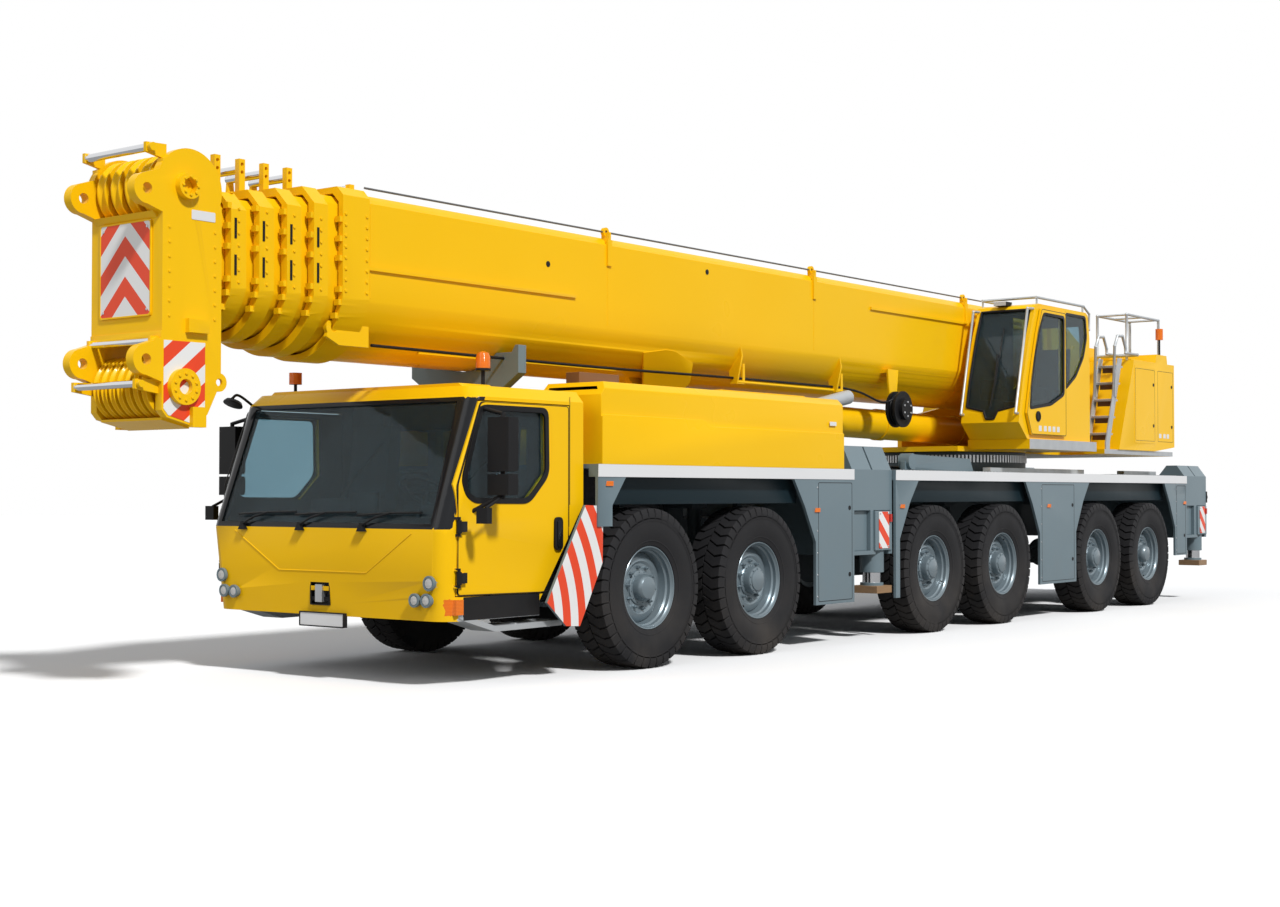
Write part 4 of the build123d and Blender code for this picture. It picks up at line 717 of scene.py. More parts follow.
# -------- making meshes
# the angle in degrees from which an edge is sharp, and how many faces a bevel has
SHARP = 32.0
BEVEL_FACES = 2
# corners closer than this are one, and faces that bend less than this many degrees are one plane
WELD = 0.00002
FLAT = 0.6


class Shape:
    """A mesh put together from plain forms before it becomes a piece."""

    def __init__(self) -> None:
        """Start with nothing in it."""
        self.mesh = bmesh.new()
        self.finishes: list[Finish] = []

    def index(self, finish: Finish) -> int:
        """Return the number of a finish's slot on this shape.

        Args:
            finish: The finish, added where it is new.

        Returns:
            Its slot's number.
        """
        if finish not in self.finishes:
            self.finishes.append(finish)
        return self.finishes.index(finish)

    def face(self, points: Iterable[Point], finish: Finish) -> None:
        """Add one flat face through the points."""
        made = self.mesh.faces.new([self.mesh.verts.new(p) for p in points])
        made.material_index = self.index(finish)

    def loft(self, rings: Sequence[Sequence[Point]], finish: Finish, closed: bool = True) -> None:
        """Skin rings of points that hold the same number each, with caps where it is closed.

        Args:
            rings: The rings, in order.
            finish: What the skin and its caps look like.
            closed: Whether the first and last ring are capped.
        """
        number = self.index(finish)
        rows = [[self.mesh.verts.new(p) for p in ring] for ring in rings]
        made = []
        for low, high in zip(rows, rows[1:]):
            for i in range(len(low)):
                k = (i + 1) % len(low)
                made.append(self.mesh.faces.new((low[i], low[k], high[k], high[i])))
        if closed:
            made.append(self.mesh.faces.new(rows[0][::-1]))
            made.append(self.mesh.faces.new(rows[-1]))
        for face in made:
            face.material_index = number
        bmesh.ops.recalc_face_normals(self.mesh, faces=made)

    def box(self, xs: Span, ys: Span, zs: Span, finish: Finish) -> None:
        """Add a box between a low and a high value on each axis."""
        self.prism(oblong(xs, ys), "z", zs, finish)

    def prism(self, outline: Sequence[Span], axis: str, span: Span, finish: Finish) -> None:
        """Add a straight prism over an outline of the other two coordinates.

        Args:
            outline: Corners: (y, z) for axis x, (x, z) for axis y, (x, y) for axis z.
            axis: The axis it runs along.
            span: Where it starts and ends on that axis.
            finish: What it looks like.
        """
        place = lying(axis)
        self.loft([[place(a, b, t) for a, b in outline] for t in span], finish)

    def rod(self, start: Point, end: Point, radius: float, finish: Finish, sides: int = 20) -> None:
        """Add a round bar between two points."""
        length = (Vector(end) - Vector(start)).length
        self.turned([(radius, 0.0), (radius, length)], start, end, finish, sides)

    def turned(self, profile: Sequence[Span], start: Point, end: Point, finish: Finish, sides: int = 32,
               closed: bool = True) -> None:
        """Add a turned form about the line from start to end.

        Args:
            profile: (radius, distance from start along the line) of each ring.
            start: Where the axis starts.
            end: A point that the axis runs towards.
            finish: What it looks like.
            sides: How many sides a turn has.
            closed: Whether its two ends are capped.
        """
        axis = (Vector(end) - Vector(start)).normalized()
        across = axis.orthogonal().normalized()
        other = axis.cross(across)
        turns = circle(sides)
        rings = [[Vector(start) + axis * d + (across * c + other * s) * r for c, s in turns]
                 for r, d in profile]
        self.loft(rings, finish, closed)

    def lathe(self, profile: Sequence[Span], finish: Finish, sides: int, closed: bool = False) -> None:
        """Add a form turned about the X axis, from the (radius, x) of each ring."""
        self.turned(profile, (0, 0, 0), (1, 0, 0), finish, sides, closed)

    def pipe(self, points: Sequence[Point], radius: float, finish: Finish, sides: int = 10) -> None:
        """Add a bent round bar through the points, mitred at its corners.

        Args:
            points: The corners of its middle line.
            radius: The bar's radius.
            finish: What it looks like.
            sides: How many sides a turn has.
        """
        path = [Vector(p) for p in points]
        rings = []
        across = (path[1] - path[0]).orthogonal().normalized()
        for i, point in enumerate(path):
            before = (point - path[max(i - 1, 0)]).normalized() if i else (path[1] - path[0]).normalized()
            after = (path[min(i + 1, len(path) - 1)] - point).normalized() if i < len(path) - 1 else before
            way = (before + after).normalized()
            across = (across - way * across.dot(way)).normalized()
            other = way.cross(across)
            rings.append([point + (across * c + other * s) * radius for c, s in circle(sides)])
        self.loft(rings, finish)

    def plate_with_hole(self, centre: Span, outer: float, inner: float, axis: str, span: Span,
                        finish: Finish, sides: int = 28) -> None:
        """Add a round eye: a ring about an axis, with its hole open.

        Args:
            centre: Its middle, as a corner of a prism's outline.
            outer: Its outer radius.
            inner: Its hole's radius.
            axis: The axis it lies across.
            span: Where it starts and ends on that axis.
            finish: What it looks like.
            sides: How many sides a turn has.
        """
        place = lying(axis)
        low, high = span
        corners = ((inner, low), (outer, low), (outer, high), (inner, high), (inner, low))
        rings = [[place(centre[0] + r * c, centre[1] + r * s, t) for c, s in circle(sides)]
                 for r, t in corners]
        self.loft(rings, finish, closed=False)

    def hoop(self, outline: Sequence[Span], width: float, axis: str, span: Span, finish: Finish,
             radius: float = 0.02) -> None:
        """Add a flat band along an outline, inside it, with rounded corners.

        Args:
            outline: Corners, as for a prism.
            width: The band's width.
            axis: The axis that it faces.
            span: Where it starts and ends on that axis.
            finish: What it looks like.
            radius: Radius of its outer corners.
        """
        place = lying(axis)
        outer = rounded(outline, radius)
        opening = rounded(inset(outline, width), max(radius - width * 0.5, 0.004))
        lines = ((outer, span[0]), (outer, span[1]), (opening, span[1]), (opening, span[0]), (outer, span[0]))
        self.loft([[place(a, b, t) for a, b in line] for line, t in lines], finish, closed=False)

    def add(self, mesh: bpy.types.Mesh, finish: Finish, move: Matrix | None = None) -> None:
        """Add a copy of a mesh, moved by a matrix, in one finish.

        Args:
            mesh: The mesh.
            finish: What the copy looks like.
            move: Where the copy goes.
        """
        before = set(self.mesh.faces)
        start = len(self.mesh.verts)
        self.mesh.from_mesh(mesh)
        self.mesh.verts.ensure_lookup_table()
        if move is not None:
            bmesh.ops.transform(self.mesh, matrix=move, verts=self.mesh.verts[start:])
        number = self.index(finish)
        for face in self.mesh.faces:
            if face not in before:
                face.material_index = number

    def row(self, piece: bpy.types.Mesh, finish: Finish, count: int, start: Point, step: Point) -> None:
        """Add copies of a mesh one after another.

        Args:
            piece: The mesh that is repeated.
            finish: What the copies look like.
            count: How many there are.
            start: Where the first stands.
            step: The way from each to the next.
        """
        self.add(realised(row_tree(), finish, piece, Count=count, Start=start, Step=step), finish)

    def ring(self, piece: bpy.types.Mesh, finish: Finish, count: int, radius: float, turn: float = 0.0,
             move: Matrix | None = None) -> None:
        """Add copies of a mesh round a circle about the X axis.

        Args:
            piece: The mesh that is repeated.
            finish: What the copies look like.
            count: How many there are.
            radius: The circle's radius.
            turn: The angle of the first one.
            move: Where the circle goes from the origin.
        """
        copies = realised(ring_tree(), finish, piece, Count=count, Radius=radius, Turn=turn)
        self.add(copies, finish, move)

    def mirror(self, verts: Sequence[bmesh.types.BMVert], faces: Sequence[bmesh.types.BMFace]) -> None:
        """Carry some of the mesh over to the vehicle's other side, as its mirror image."""
        bmesh.ops.scale(self.mesh, vec=(-1, 1, 1), verts=verts)
        bmesh.ops.reverse_faces(self.mesh, faces=faces)

    def twin(self) -> None:
        """Add the mirror image of everything on the vehicle's other side."""
        everything = self.mesh.faces[:] + self.mesh.edges[:] + self.mesh.verts[:]
        copied = bmesh.ops.duplicate(self.mesh, geom=everything)["geom"]
        self.mirror([g for g in copied if isinstance(g, bmesh.types.BMVert)],
                    [g for g in copied if isinstance(g, bmesh.types.BMFace)])

    def piece(self, name: str, body: str, bevel: float = 0.0, angle: float = SHARP) -> bpy.types.Object:
        """Make the piece: bevelled, smooth where its faces run on, and riding on its body.

        Args:
            name: The piece's name.
            body: The CAD body that it rides on.
            bevel: Width of the bevel on its sharp edges, or 0 for none.
            angle: The angle in degrees from which an edge is sharp.

        Returns:
            The finished object.
        """
        mesh = bpy.data.meshes.new(name)
        self.mesh.to_mesh(mesh)
        self.mesh.free()
        for finish in self.finishes:
            mesh.materials.append(finish.material())
        made = finished(name, mesh, bevel, angle)
        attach(made, body)
        LOG.info("%s rides on %s", name, body)
        return made


def finished(name: str, mesh: bpy.types.Mesh, bevel: float, angle: float) -> bpy.types.Object:
    """Bevel a mesh and shade it smooth where its faces run on.

    Args:
        name: The new object's name.
        mesh: The mesh, in place in the row frame.
        bevel: Width of the bevel on its sharp edges, or 0 for none.
        angle: The angle in degrees from which an edge is sharp.

    Returns:
        The linked object.
    """
    mesh.shade_smooth()
    mesh.set_sharp_from_angle(angle=math.radians(angle))
    made = bpy.data.objects.new(name, mesh)
    bpy.context.scene.collection.objects.link(made)
    if bevel:
        rounding = made.modifiers.new("rounding", "BEVEL")
        rounding.width = bevel
        rounding.segments = BEVEL_FACES
        rounding.limit_method = "ANGLE"
        rounding.angle_limit = math.radians(angle)
        rounding.harden_normals = True
        rounding.use_clamp_overlap = True
        plain = bpy.data.meshes.new_from_object(made.evaluated_get(bpy.context.evaluated_depsgraph_get()))
        made.modifiers.clear()
        made.data = plain
        plain.name = name
    return made


@dataclass
class Plan:
    """Where things stand, worked out from the frame."""

    nodes: dict[str, bpy.types.Object]
    first_axle: float = 0.0

    def __post_init__(self) -> None:
        """Find the first axle, which stations are counted from."""
        low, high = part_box("wheel_1l")
        self.first_axle = (low.y + high.y) / 2

    def at(self, station: float) -> float:
        """Return the row Y of a station counted from the first axle."""
        return self.first_axle + station

    def painted(self, node: str, finish: Finish) -> None:
        """Give a CAD node that stays as it is its finish.

        Args:
            node: The CAD node.
            finish: What it looks like.
        """
        data = self.nodes[node].data
        data.materials.clear()
        data.materials.append(finish.material())
        LOG.info("%s stays, in %s", node, finish.name)

    def placed(self, shape: Shape, name: str, body: str, bevel: float = 0.0) -> bpy.types.Object:
        """Move a shape drawn in stations to its row place and make it a piece.

        Args:
            shape: The shape.
            name: The piece's name.
            body: The CAD body that it rides on.
            bevel: Width of the bevel on its sharp edges.

        Returns:
            The finished object.
        """
        bmesh.ops.translate(shape.mesh, verts=shape.mesh.verts, vec=(0.0, self.first_axle, 0.0))
        return shape.piece(name, body, bevel)

    def dressed(self, node: str, body: str, finish: Finish, bevel: float = 0.004,
                zones: Sequence[Zone] = (), split: bool = False) -> bpy.types.Object:
        """Stand a bevelled, many-coloured copy of a CAD node in its place.

        Args:
            node: The CAD node.
            body: The body that it belongs to.
            finish: What it looks like outside its zones.
            bevel: Width of the bevel on its sharp edges.
            zones: Where it looks otherwise; the first zone that holds a face counts.
            split: Whether its hollow faces are cut into plain ones.

        Returns:
            The new piece.
        """
        shape = Shape()
        shape.mesh.from_mesh(self.nodes[node].data)
        bmesh.ops.remove_doubles(shape.mesh, verts=shape.mesh.verts, dist=WELD)
        start = Vector((0.0, self.first_axle, 0.0))
        for face in shape.mesh.faces:
            middle = face.calc_center_median() - start
            found = next((zone.finish for zone in zones if zone.holds(middle, face.normal)), finish)
            face.material_index = shape.index(found)
        bmesh.ops.dissolve_limit(shape.mesh, angle_limit=math.radians(FLAT), verts=shape.mesh.verts,
                                 edges=shape.mesh.edges, delimit={"MATERIAL"})
        if split:
            bmesh.ops.connect_verts_concave(shape.mesh, faces=shape.mesh.faces[:])
        made = shape.piece("skin_" + node, body, bevel)
        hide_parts(node)
        return made


# -------- geometry nodes
class Pattern(Wiring):
    """A geometry tree with named inputs."""

    def __init__(self, name: str, inputs: dict[str, tuple[str, object]]) -> None:
        """Start a tree.

        Args:
            name: The tree's name.
            inputs: Type and default of each input, by name.
        """
        super().__init__(bpy.data.node_groups.new(name, "GeometryNodeTree"))
        for key, (kind, default) in inputs.items():
            socket = self.tree.interface.new_socket(key, in_out="INPUT", socket_type="NodeSocket" + kind)
            if default is not None:
                socket.default_value = default
        self.tree.interface.new_socket("Geometry", in_out="OUTPUT", socket_type="NodeSocketGeometry")
        self.entry = self.add("NodeGroupInput").outputs

    def end(self, geometry: bpy.types.NodeSocket) -> bpy.types.NodeTree:
        """Realize the instances, set their material and close the tree.

        Args:
            geometry: What the tree has made.

        Returns:
            The finished tree.
        """
        real = self.add("GeometryNodeRealizeInstances", Geometry=geometry)
        dressed = self.add("GeometryNodeSetMaterial", Geometry=real.outputs[0],
                           Material=self.entry["Material"])
        self.add("NodeGroupOutput", i0=dressed.outputs[0])
        return self.tree


def ring_tree() -> bpy.types.NodeTree:
    """Pieces of a given form, set round a circle about the X axis and turned with it.

    Returns:
        The tree.
    """
    found = bpy.data.node_groups.get("ring_of_pieces")
    if found:
        return found
    work = Pattern("ring_of_pieces", {
        "Count": ("Int", 10), "Radius": ("Float", 0.1), "Turn": ("Float", 0.0),
        "Piece": ("Object", None), "Material": ("Material", None)})
    places = work.add("GeometryNodeMeshCircle", Vertices=work.entry["Count"], Radius=work.entry["Radius"])
    index = work.add("GeometryNodeInputIndex")
    share = work.add("Math", {"operation": "DIVIDE"}, i0=index.outputs[0], i1=work.entry["Count"])
    turned = work.add("Math", {"operation": "MULTIPLY"}, i0=share.outputs[0], i1=2 * math.pi)
    spin = work.add("CombineXYZ", Z=turned.outputs[0])
    piece = work.add("GeometryNodeObjectInfo", Object=work.entry["Piece"])
    put = work.add("GeometryNodeInstanceOnPoints", Points=places.outputs[0],
                   Instance=piece.outputs["Geometry"], Rotation=spin.outputs[0])
    phase = work.add("CombineXYZ", Z=work.entry["Turn"])
    started = work.add("GeometryNodeTransform", Geometry=put.outputs[0], Rotation=phase.outputs[0])
    upright = work.add("GeometryNodeTransform", Geometry=started.outputs[0], Rotation=(0.0, math.pi / 2, 0.0))
    return work.end(upright.outputs[0])


def row_tree() -> bpy.types.NodeTree:
    """Pieces of a given form, set one after another at an even step.

    Returns:
        The tree.
    """
    found = bpy.data.node_groups.get("row_of_pieces")
    if found:
        return found
    work = Pattern("row_of_pieces", {
        "Count": ("Int", 2), "Start": ("Vector", (0, 0, 0)), "Step": ("Vector", (1, 0, 0)),
        "Piece": ("Object", None), "Material": ("Material", None)})
    line = work.add("GeometryNodeMeshLine", {"mode": "OFFSET"}, Count=work.entry["Count"],
                    Start_Location=work.entry["Start"], Offset=work.entry["Step"])
    piece = work.add("GeometryNodeObjectInfo", Object=work.entry["Piece"])
    put = work.add("GeometryNodeInstanceOnPoints", Points=line.outputs[0], Instance=piece.outputs["Geometry"])
    return work.end(put.outputs[0])


def realised(tree: bpy.types.NodeTree, finish: Finish, piece: bpy.types.Mesh,
             **inputs: object) -> bpy.types.Mesh:
    """Run a geometry tree and return the plain mesh that it makes.

    Args:
        tree: The tree.
        finish: The finish of what it makes.
        piece: The mesh that is repeated.
        **inputs: The tree's other inputs, by name.

    Returns:
        The mesh.
    """
    pattern = bpy.data.objects.new("pattern", piece)
    holder = bpy.data.objects.new("holder", bpy.data.meshes.new("holder"))
    bpy.context.scene.collection.objects.link(pattern)
    bpy.context.scene.collection.objects.link(holder)
    modifier = holder.modifiers.new("repeat", "NODES")
    modifier.node_group = tree
    values = {**inputs, "Piece": pattern, "Material": finish.material()}
    for item in tree.interface.items_tree:
        if item.in_out == "INPUT" and item.name in values:
            modifier[item.identifier] = values[item.name]
    bpy.context.view_layer.update()
    made = bpy.data.meshes.new_from_object(holder.evaluated_get(bpy.context.evaluated_depsgraph_get()))
    bpy.data.objects.remove(holder)
    bpy.data.objects.remove(pattern)
    return made


def plain_mesh(shape: Shape) -> bpy.types.Mesh:
    """Return a shape's mesh without making it a piece.

    Args:
        shape: The shape, used up by this.

    Returns:
        The mesh.
    """
    mesh = bpy.data.meshes.new("part")
    shape.mesh.to_mesh(mesh)
    shape.mesh.free()
    return mesh


def bolt(radius: float, height: float, axis: str = "z") -> bpy.types.Mesh:
    """Return a bolt's head, standing on the origin along an axis, or against it for "-x" and the like.

    Args:
        radius: Radius over its corners.
        height: Its height.
        axis: The axis that it stands along.

    Returns:
        The mesh.
    """
    way = {"x": (1, 0, 0), "y": (0, 1, 0), "z": (0, 0, 1)}[axis[-1]]
    sign = -1.0 if axis[0] == "-" else 1.0
    end = Vector(way) * sign * height
    shape = Shape()
    profile = [(radius, 0.0), (radius, height * 0.75), (radius * 0.8, height)]
    shape.turned(profile, (0, 0, 0), end, STEEL, sides=6)
    return plain_mesh(shape)


def slat(size: Point) -> bpy.types.Mesh:
    """Return a small box of a size, centred on the origin.

    Args:
        size: Its lengths along X, Y and Z.

    Returns:
        The mesh.
    """
    shape = Shape()
    half = [s / 2 for s in size]
    shape.box((-half[0], half[0]), (-half[1], half[1]), (-half[2], half[2]), STEEL)
    return plain_mesh(shape)


# -------- wheels
AXLES = (1, 2, 3, 4, 5, 6)
STEERED = (1, 2, 3, 5, 6)


@dataclass
class Wheels:
    """Twelve wheels with block-tread tyres on steel rims."""

    plan: Plan
    # sides of the tyre, the rim and the hub
    tyre_sides: int = 84
    rim_sides: int = 64
    hub_sides: int = 48
    # blocks round the tread, the share of the pitch that half of one takes, and how deep they stand
    lugs: int = 42
    block: float = 0.43
    groove: float = 0.020
    # the distance from the tread's middle past which a block is on the shoulder
    shoulder: float = 0.19
    # each row of a block: distance from the tread's middle, height and slant along the circle
    block_rows: tuple[Point, ...] = ((0.006, 0.0, -0.35), (0.085, 0.0, 0.10), (0.100, -0.001, 0.20),
                                     (0.175, -0.007, 0.05), (0.1905, -0.050, 0.05), (0.1915, -0.085, 0.02))
    # half the wheel's width, and how far a block's corners stand past its circle
    half_width: float = 0.1925
    corner: float = 0.0046
    # wheel bolts, the circle they stand on, and the axles whose hubs hold planetary gears
    studs: int = 10
    stud_circle: float = 0.1795
    planetary: tuple[int, ...] = (2, 3, 4, 5)
    # how far each axle's wheels are turned on from the last, so that no two look alike
    turn_on: float = 1.7
    # (radius, distance outwards from the wheel's middle) round the rim, its disc and its hub
    rim_profiles: tuple[Profile, ...] = (
        ((0.300, -0.150), (0.300, 0.020), (0.305, 0.030), (0.312, 0.085), (0.326, 0.098), (0.328, 0.128),
         (0.340, 0.140), (0.345, 0.153), (0.352, 0.155), (0.357, 0.150), (0.355, 0.136)),
        ((0.357, -0.150), (0.352, -0.155), (0.300, -0.150)),
        ((0.302, 0.018), (0.290, 0.035), (0.262, 0.052), (0.228, 0.060), (0.215, 0.052), (0.205, 0.045),
         (0.150, 0.045)),
        ((0.150, 0.020), (0.262, 0.022), (0.300, 0.000)))
    geared_hub: Profile = ((0.150, 0.030), (0.150, 0.058), (0.142, 0.066), (0.128, 0.068), (0.126, 0.120),
                           (0.120, 0.134), (0.100, 0.139), (0.096, 0.150), (0.088, 0.154), (0.001, 0.154))
    plain_hub: Profile = ((0.150, 0.030), (0.150, 0.056), (0.140, 0.062), (0.118, 0.063), (0.116, 0.100),
                          (0.108, 0.128), (0.092, 0.146), (0.060, 0.153), (0.001, 0.154))
    hub_back: Profile = ((0.060, -0.012), (0.150, -0.012), (0.150, 0.030))

    def lug(self, side: int, radius: float) -> bpy.types.Mesh:
        """Return one tread block for the ring tree, standing outwards along +X at its circle.

        Args:
            side: 1 for the outer half of the tread, -1 for the inner half.
            radius: The tyre's radius.

        Returns:
            The block's mesh, with the tyre's axis along Z.
        """
        pitch = 2 * math.pi * radius / self.lugs
        shape = Shape()
        rings = []
        for across, height, slant in self.block_rows:
            shoulder = across > self.shoulder
            middle = slant * pitch
            deep = height - self.groove - (0.01 if shoulder else 0.0)
            half = pitch * self.block * (0.94 if shoulder else 1.0)
            top = half * 0.92
            rings.append([(deep, middle - half, side * across), (height, middle - top, side * across),
                          (height, middle + top, side * across), (deep, middle + half, side * across)])
        shape.loft(rings, RUBBER)
        return plain_mesh(shape)

    def tyre(self, radius: float) -> Shape:
        """Return the tyre about the X axis at the origin, outer side towards +X.

        Args:
            radius: Radius over the tread.

        Returns:
            The tyre's shape.
        """
        shape = Shape()
        floor = radius - self.groove
        half = [(0.352, 0.135), (0.362, 0.158), (0.40, 0.172), (0.46, 0.186), (0.52, 0.1915), (0.575, 0.1885),
                (0.600, 0.186), (radius - 0.068, 0.182), (radius - 0.045, 0.179), (floor - 0.006, 0.165),
                (floor, 0.10)]
        outline = half + [(r, -x) for r, x in half[::-1]]
        shape.lathe([*outline, outline[0]], RUBBER, self.tyre_sides)
        # raised rings on the sidewall: inner radius and distance outwards
        for ridge, out in ((0.395, 0.1715), (0.585, 0.1885)):
            shape.lathe([(ridge, out), (ridge + 0.004, out + 0.003), (ridge + 0.012, out + 0.003),
                         (ridge + 0.016, out)], RUBBER, self.tyre_sides)
        for side, turn in ((1, 0.0), (-1, math.pi / self.lugs)):
            shape.ring(self.lug(side, radius), RUBBER, self.lugs, radius, turn)
        return shape

    def rim(self, shape: Shape, planetary: bool) -> None:
        """Add the rim, its disc and the hub's cover.

        Args:
            shape: The wheel so far.
            planetary: Whether the hub has the wide cover of a driven axle's gears.
        """
        for profile in self.rim_profiles:
            shape.lathe(profile, RIM_GREY, self.rim_sides)
        hub = self.geared_hub if planetary else self.plain_hub
        shape.lathe(hub, RIM_GREY, self.hub_sides, closed=True)
        shape.lathe(self.hub_back, RIM_GREY, self.hub_sides)
        # count, circle, bolt radius, bolt height, distance out, turn
        rings = [(self.studs, self.stud_circle, 0.017, 0.026, 0.046, 0.0),
                 (self.studs, self.stud_circle, 0.009, 0.044, 0.046, 0.0),
                 (24 if planetary else 12, 0.134, 0.0055, 0.006, 0.067 if planetary else 0.062, 0.1)]
        if planetary:
            rings.append((10, 0.108, 0.008, 0.008, 0.137, 0.0))
        for count, around, radius, height, out, turn in rings:
            shape.ring(bolt(radius, height), RIM_GREY, count, around, turn, Matrix.Translation((out, 0, 0)))
        valve = ((0.10, 0.27, -0.10), (0.115, 0.285, -0.105))
        shape.rod(*valve, 0.007, BLACK, 8)

    def build(self) -> None:
        """Build one wheel of each kind and set a copy on every wheel's body."""
        low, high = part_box("wheel_1l")
        radius = (high.z - low.z) / 2
        forms = {}
        for planetary in (False, True):
            shape = self.tyre(radius - self.corner)
            self.rim(shape, planetary)
            forms[planetary] = (plain_mesh(shape), shape.finishes)
        for axle in AXLES:
            for side in Side:
                name = f"wheel_{axle}{'l' if side is Side.LEFT else 'r'}"
                low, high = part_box(name)
                inner_face = low.x if side is Side.LEFT else high.x
                middle = inner_face + side.value * self.half_width
                move = Matrix.Translation((middle, (low.y + high.y) / 2, (low.z + high.z) / 2))
                turn = Matrix.Rotation(axle * self.turn_on + side.value, 4, "X")
                mirror = Matrix.Diagonal((side.value, 1, 1, 1))
                mesh, finishes = forms[axle in self.planetary]
                shape = Shape()
                shape.mesh.from_mesh(mesh)
                shape.finishes = list(finishes)
                bmesh.ops.transform(shape.mesh, matrix=move @ mirror @ turn, verts=shape.mesh.verts)
                if side is Side.RIGHT:
                    bmesh.ops.reverse_faces(shape.mesh, faces=shape.mesh.faces)
                made = shape.piece(f"tyre_and_rim_{axle}{name[-1]}", name, angle=35.0)
                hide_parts(name)
        LOG.info("wheels: 12 with %d tread blocks a side", self.lugs)


# -------- carrier
@dataclass
class Carrier:
    """Chassis, deck, axles, outriggers and the engine bay."""

    plan: Plan
    half: float = 1.500
    # heights of the side rail's lower edge, the valances' upper edge, the deck and its tread plates
    rail_bottom: float = 1.630
    valance_top: float = 1.700
    deck_z: float = 1.735
    tread_top: float = 1.802
    strip_step: float = 0.075
    # the slewing ring's station and radius, and the height of its upper face
    slew: Span = (8.100, 0.950)
    bearing_top: float = 1.995
    # the span and the heights of each skirt's door
    skirts: tuple[tuple[Span, Span], ...] = (((2.605, 3.295), (0.44, 1.60)), ((7.575, 8.545), (0.44, 1.60)),
                                             ((11.83, 12.225), (0.66, 1.60)))
    # where the tread strips start and end along each deck
    strips: tuple[Span, ...] = ((4.35, 7.0), (9.9, 12.1))
    rear: float = 13.09
    # each rear lamp's distance out and its lens
    rear_lamps: tuple[tuple[float, Finish], ...] = ((1.06, RED_LENS), (1.18, AMBER_LENS), (1.30, RED_LENS),
                                                    (1.41, CLEAR_LENS))

    def build(self) -> None:
        """Dress the carrier's nodes and add its fittings."""
        plan = self.plan
        # the frame below its top and the axle beams are in the grey darkened as painted shade
        plan.dressed("chassis_frame", "carrier", SHADED_UNDER_GREY, 0.006, self.frame_zones())
        plan.dressed("axle_beams", "carrier", SHADED_UNDER_GREY, 0.008)
        for side in ("left", "right"):
            plan.dressed("fender_deck_" + side, "carrier", GREY, 0.0008, self.deck_zones(), split=True)
            for end in ("front", "rear"):
                beam = f"outrigger_beam_{end}_{side}"
                plan.dressed(beam, beam, GREY, 0.006)
                self.beam_plate(beam, Side.LEFT if side == "left" else Side.RIGHT)
                jack = f"outrigger_jack_{end}_{side}"
                plan.dressed(jack, jack, CHROME, 0.004, self.jack_zones())
        for axle in STEERED:
            for letter in "lr":
                name = f"knuckle_{axle}{letter}"
                # the knuckles are in the grey darkened as painted shade
                plan.dressed(name, name, SHADED_UNDER_GREY, 0.006)
        plan.dressed("boom_rest", "carrier", GREY, 0.004)
        # the slewing ring is in the grey darkened as painted shade
        plan.dressed("slew_ring", "carrier", SHADED_UNDER_GREY, 0.006)
        plan.dressed("engine_block", "carrier", IRON, 0.02)
        plan.dressed("engine_cover", "carrier", YELLOW, 0.008, self.cover_zones())
        self.ring_gear()
        self.deck_fittings()
        self.cover_fittings()
        self.rear_fittings()
        LOG.info("carrier: frame, decks, axles, outriggers and engine bay dressed")

    def frame_zones(self) -> tuple[Zone, ...]:
        """Return where the frame keeps the deck's grey: both outrigger boxes and its top; below, it takes the
        darker grey of painted shade.
        """
        return (Zone(GREY, station=(3.31, 4.13)), Zone(GREY, station=above(12.24)), Zone(GREY, z=above(1.69)))

    def deck_zones(self) -> tuple[Zone, ...]:
        """Return the zones of a deck: striped guard, amber markers, white rail, valances in dark paint with
        painted shade, and treads.

        Returns:
            Its zones, in order.
        """
        guard = {"station": under(-0.65), "z": under(1.40), "out": (self.half - 0.041, self.half - 0.014)}
        return (Zone(GUARD_STRIPES, facing=OUTWARDS, least=0.34, **guard), Zone(GREY, **guard),
                Zone(AMBER_LENS, out=above(self.half + 0.0065)),
                Zone(RAIL_WHITE, out=above(self.half + 0.001), z=above(self.rail_bottom - 0.01)),
                # valances: dark paint with the shade under the deck's edge painted in
                Zone(SHADED_VALANCE, out=under(self.half - 0.09), z=under(self.valance_top)),
                Zone(GALVANISED, out=above(0.97), z=(self.deck_z + 0.01, self.tread_top)))

    def jack_zones(self) -> tuple[Zone, ...]:
        """Return the zones under a jack's chrome rod: its timber pad and its painted foot."""
        return (Zone(TIMBER, z=under(0.546)), Zone(GREY, z=under(0.580)))

    def cover_zones(self) -> tuple[Zone, ...]:
        """Return the zones of the engine cover: its inside, the brown box on it and the exhaust.

        Returns:
            Its zones, in order.
        """
        return (Room(CABIN_DARK, middle=(0.0, 1.29, 1.9), half=(1.42, 1.88, 0.51)),
                Zone(BROWN, x=(0.775, 0.935), station=under(0.3), z=above(2.42)),
                Zone(GALVANISED, x=above(0.8), station=above(3.195), z=above(2.24)))

    def beam_plate(self, node: str, side: Side) -> None:
        """Put the striped plate and a marker lamp on the outer end of an outrigger beam.

        Args:
            node: The beam's node.
            side: The side that it slides out on.
        """
        low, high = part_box(node)
        out = (high.x if side is Side.LEFT else -low.x) - 0.001
        middle = (low.y + high.y) / 2
        shape = Shape()
        plate = oblong((middle - 0.10, middle + 0.10), (0.93, 1.305))
        shape.prism(rounded(plate, 0.012, 3), "x", sided(side.value, out, out + 0.007), BEAM_STRIPES)
        lens = sided(side.value, out, out + 0.016)
        shape.box(lens, (middle + 0.112, middle + 0.150), (1.20, 1.28), RED_LENS)
        for z in (0.95, 1.285):
            for y in (middle - 0.08, middle + 0.08):
                shape.add(bolt(0.010, 0.006, outward(side.value)), STEEL,
                          Matrix.Translation((side.value * (out + 0.006), y, z)))
        shape.piece("plate_" + node, node)

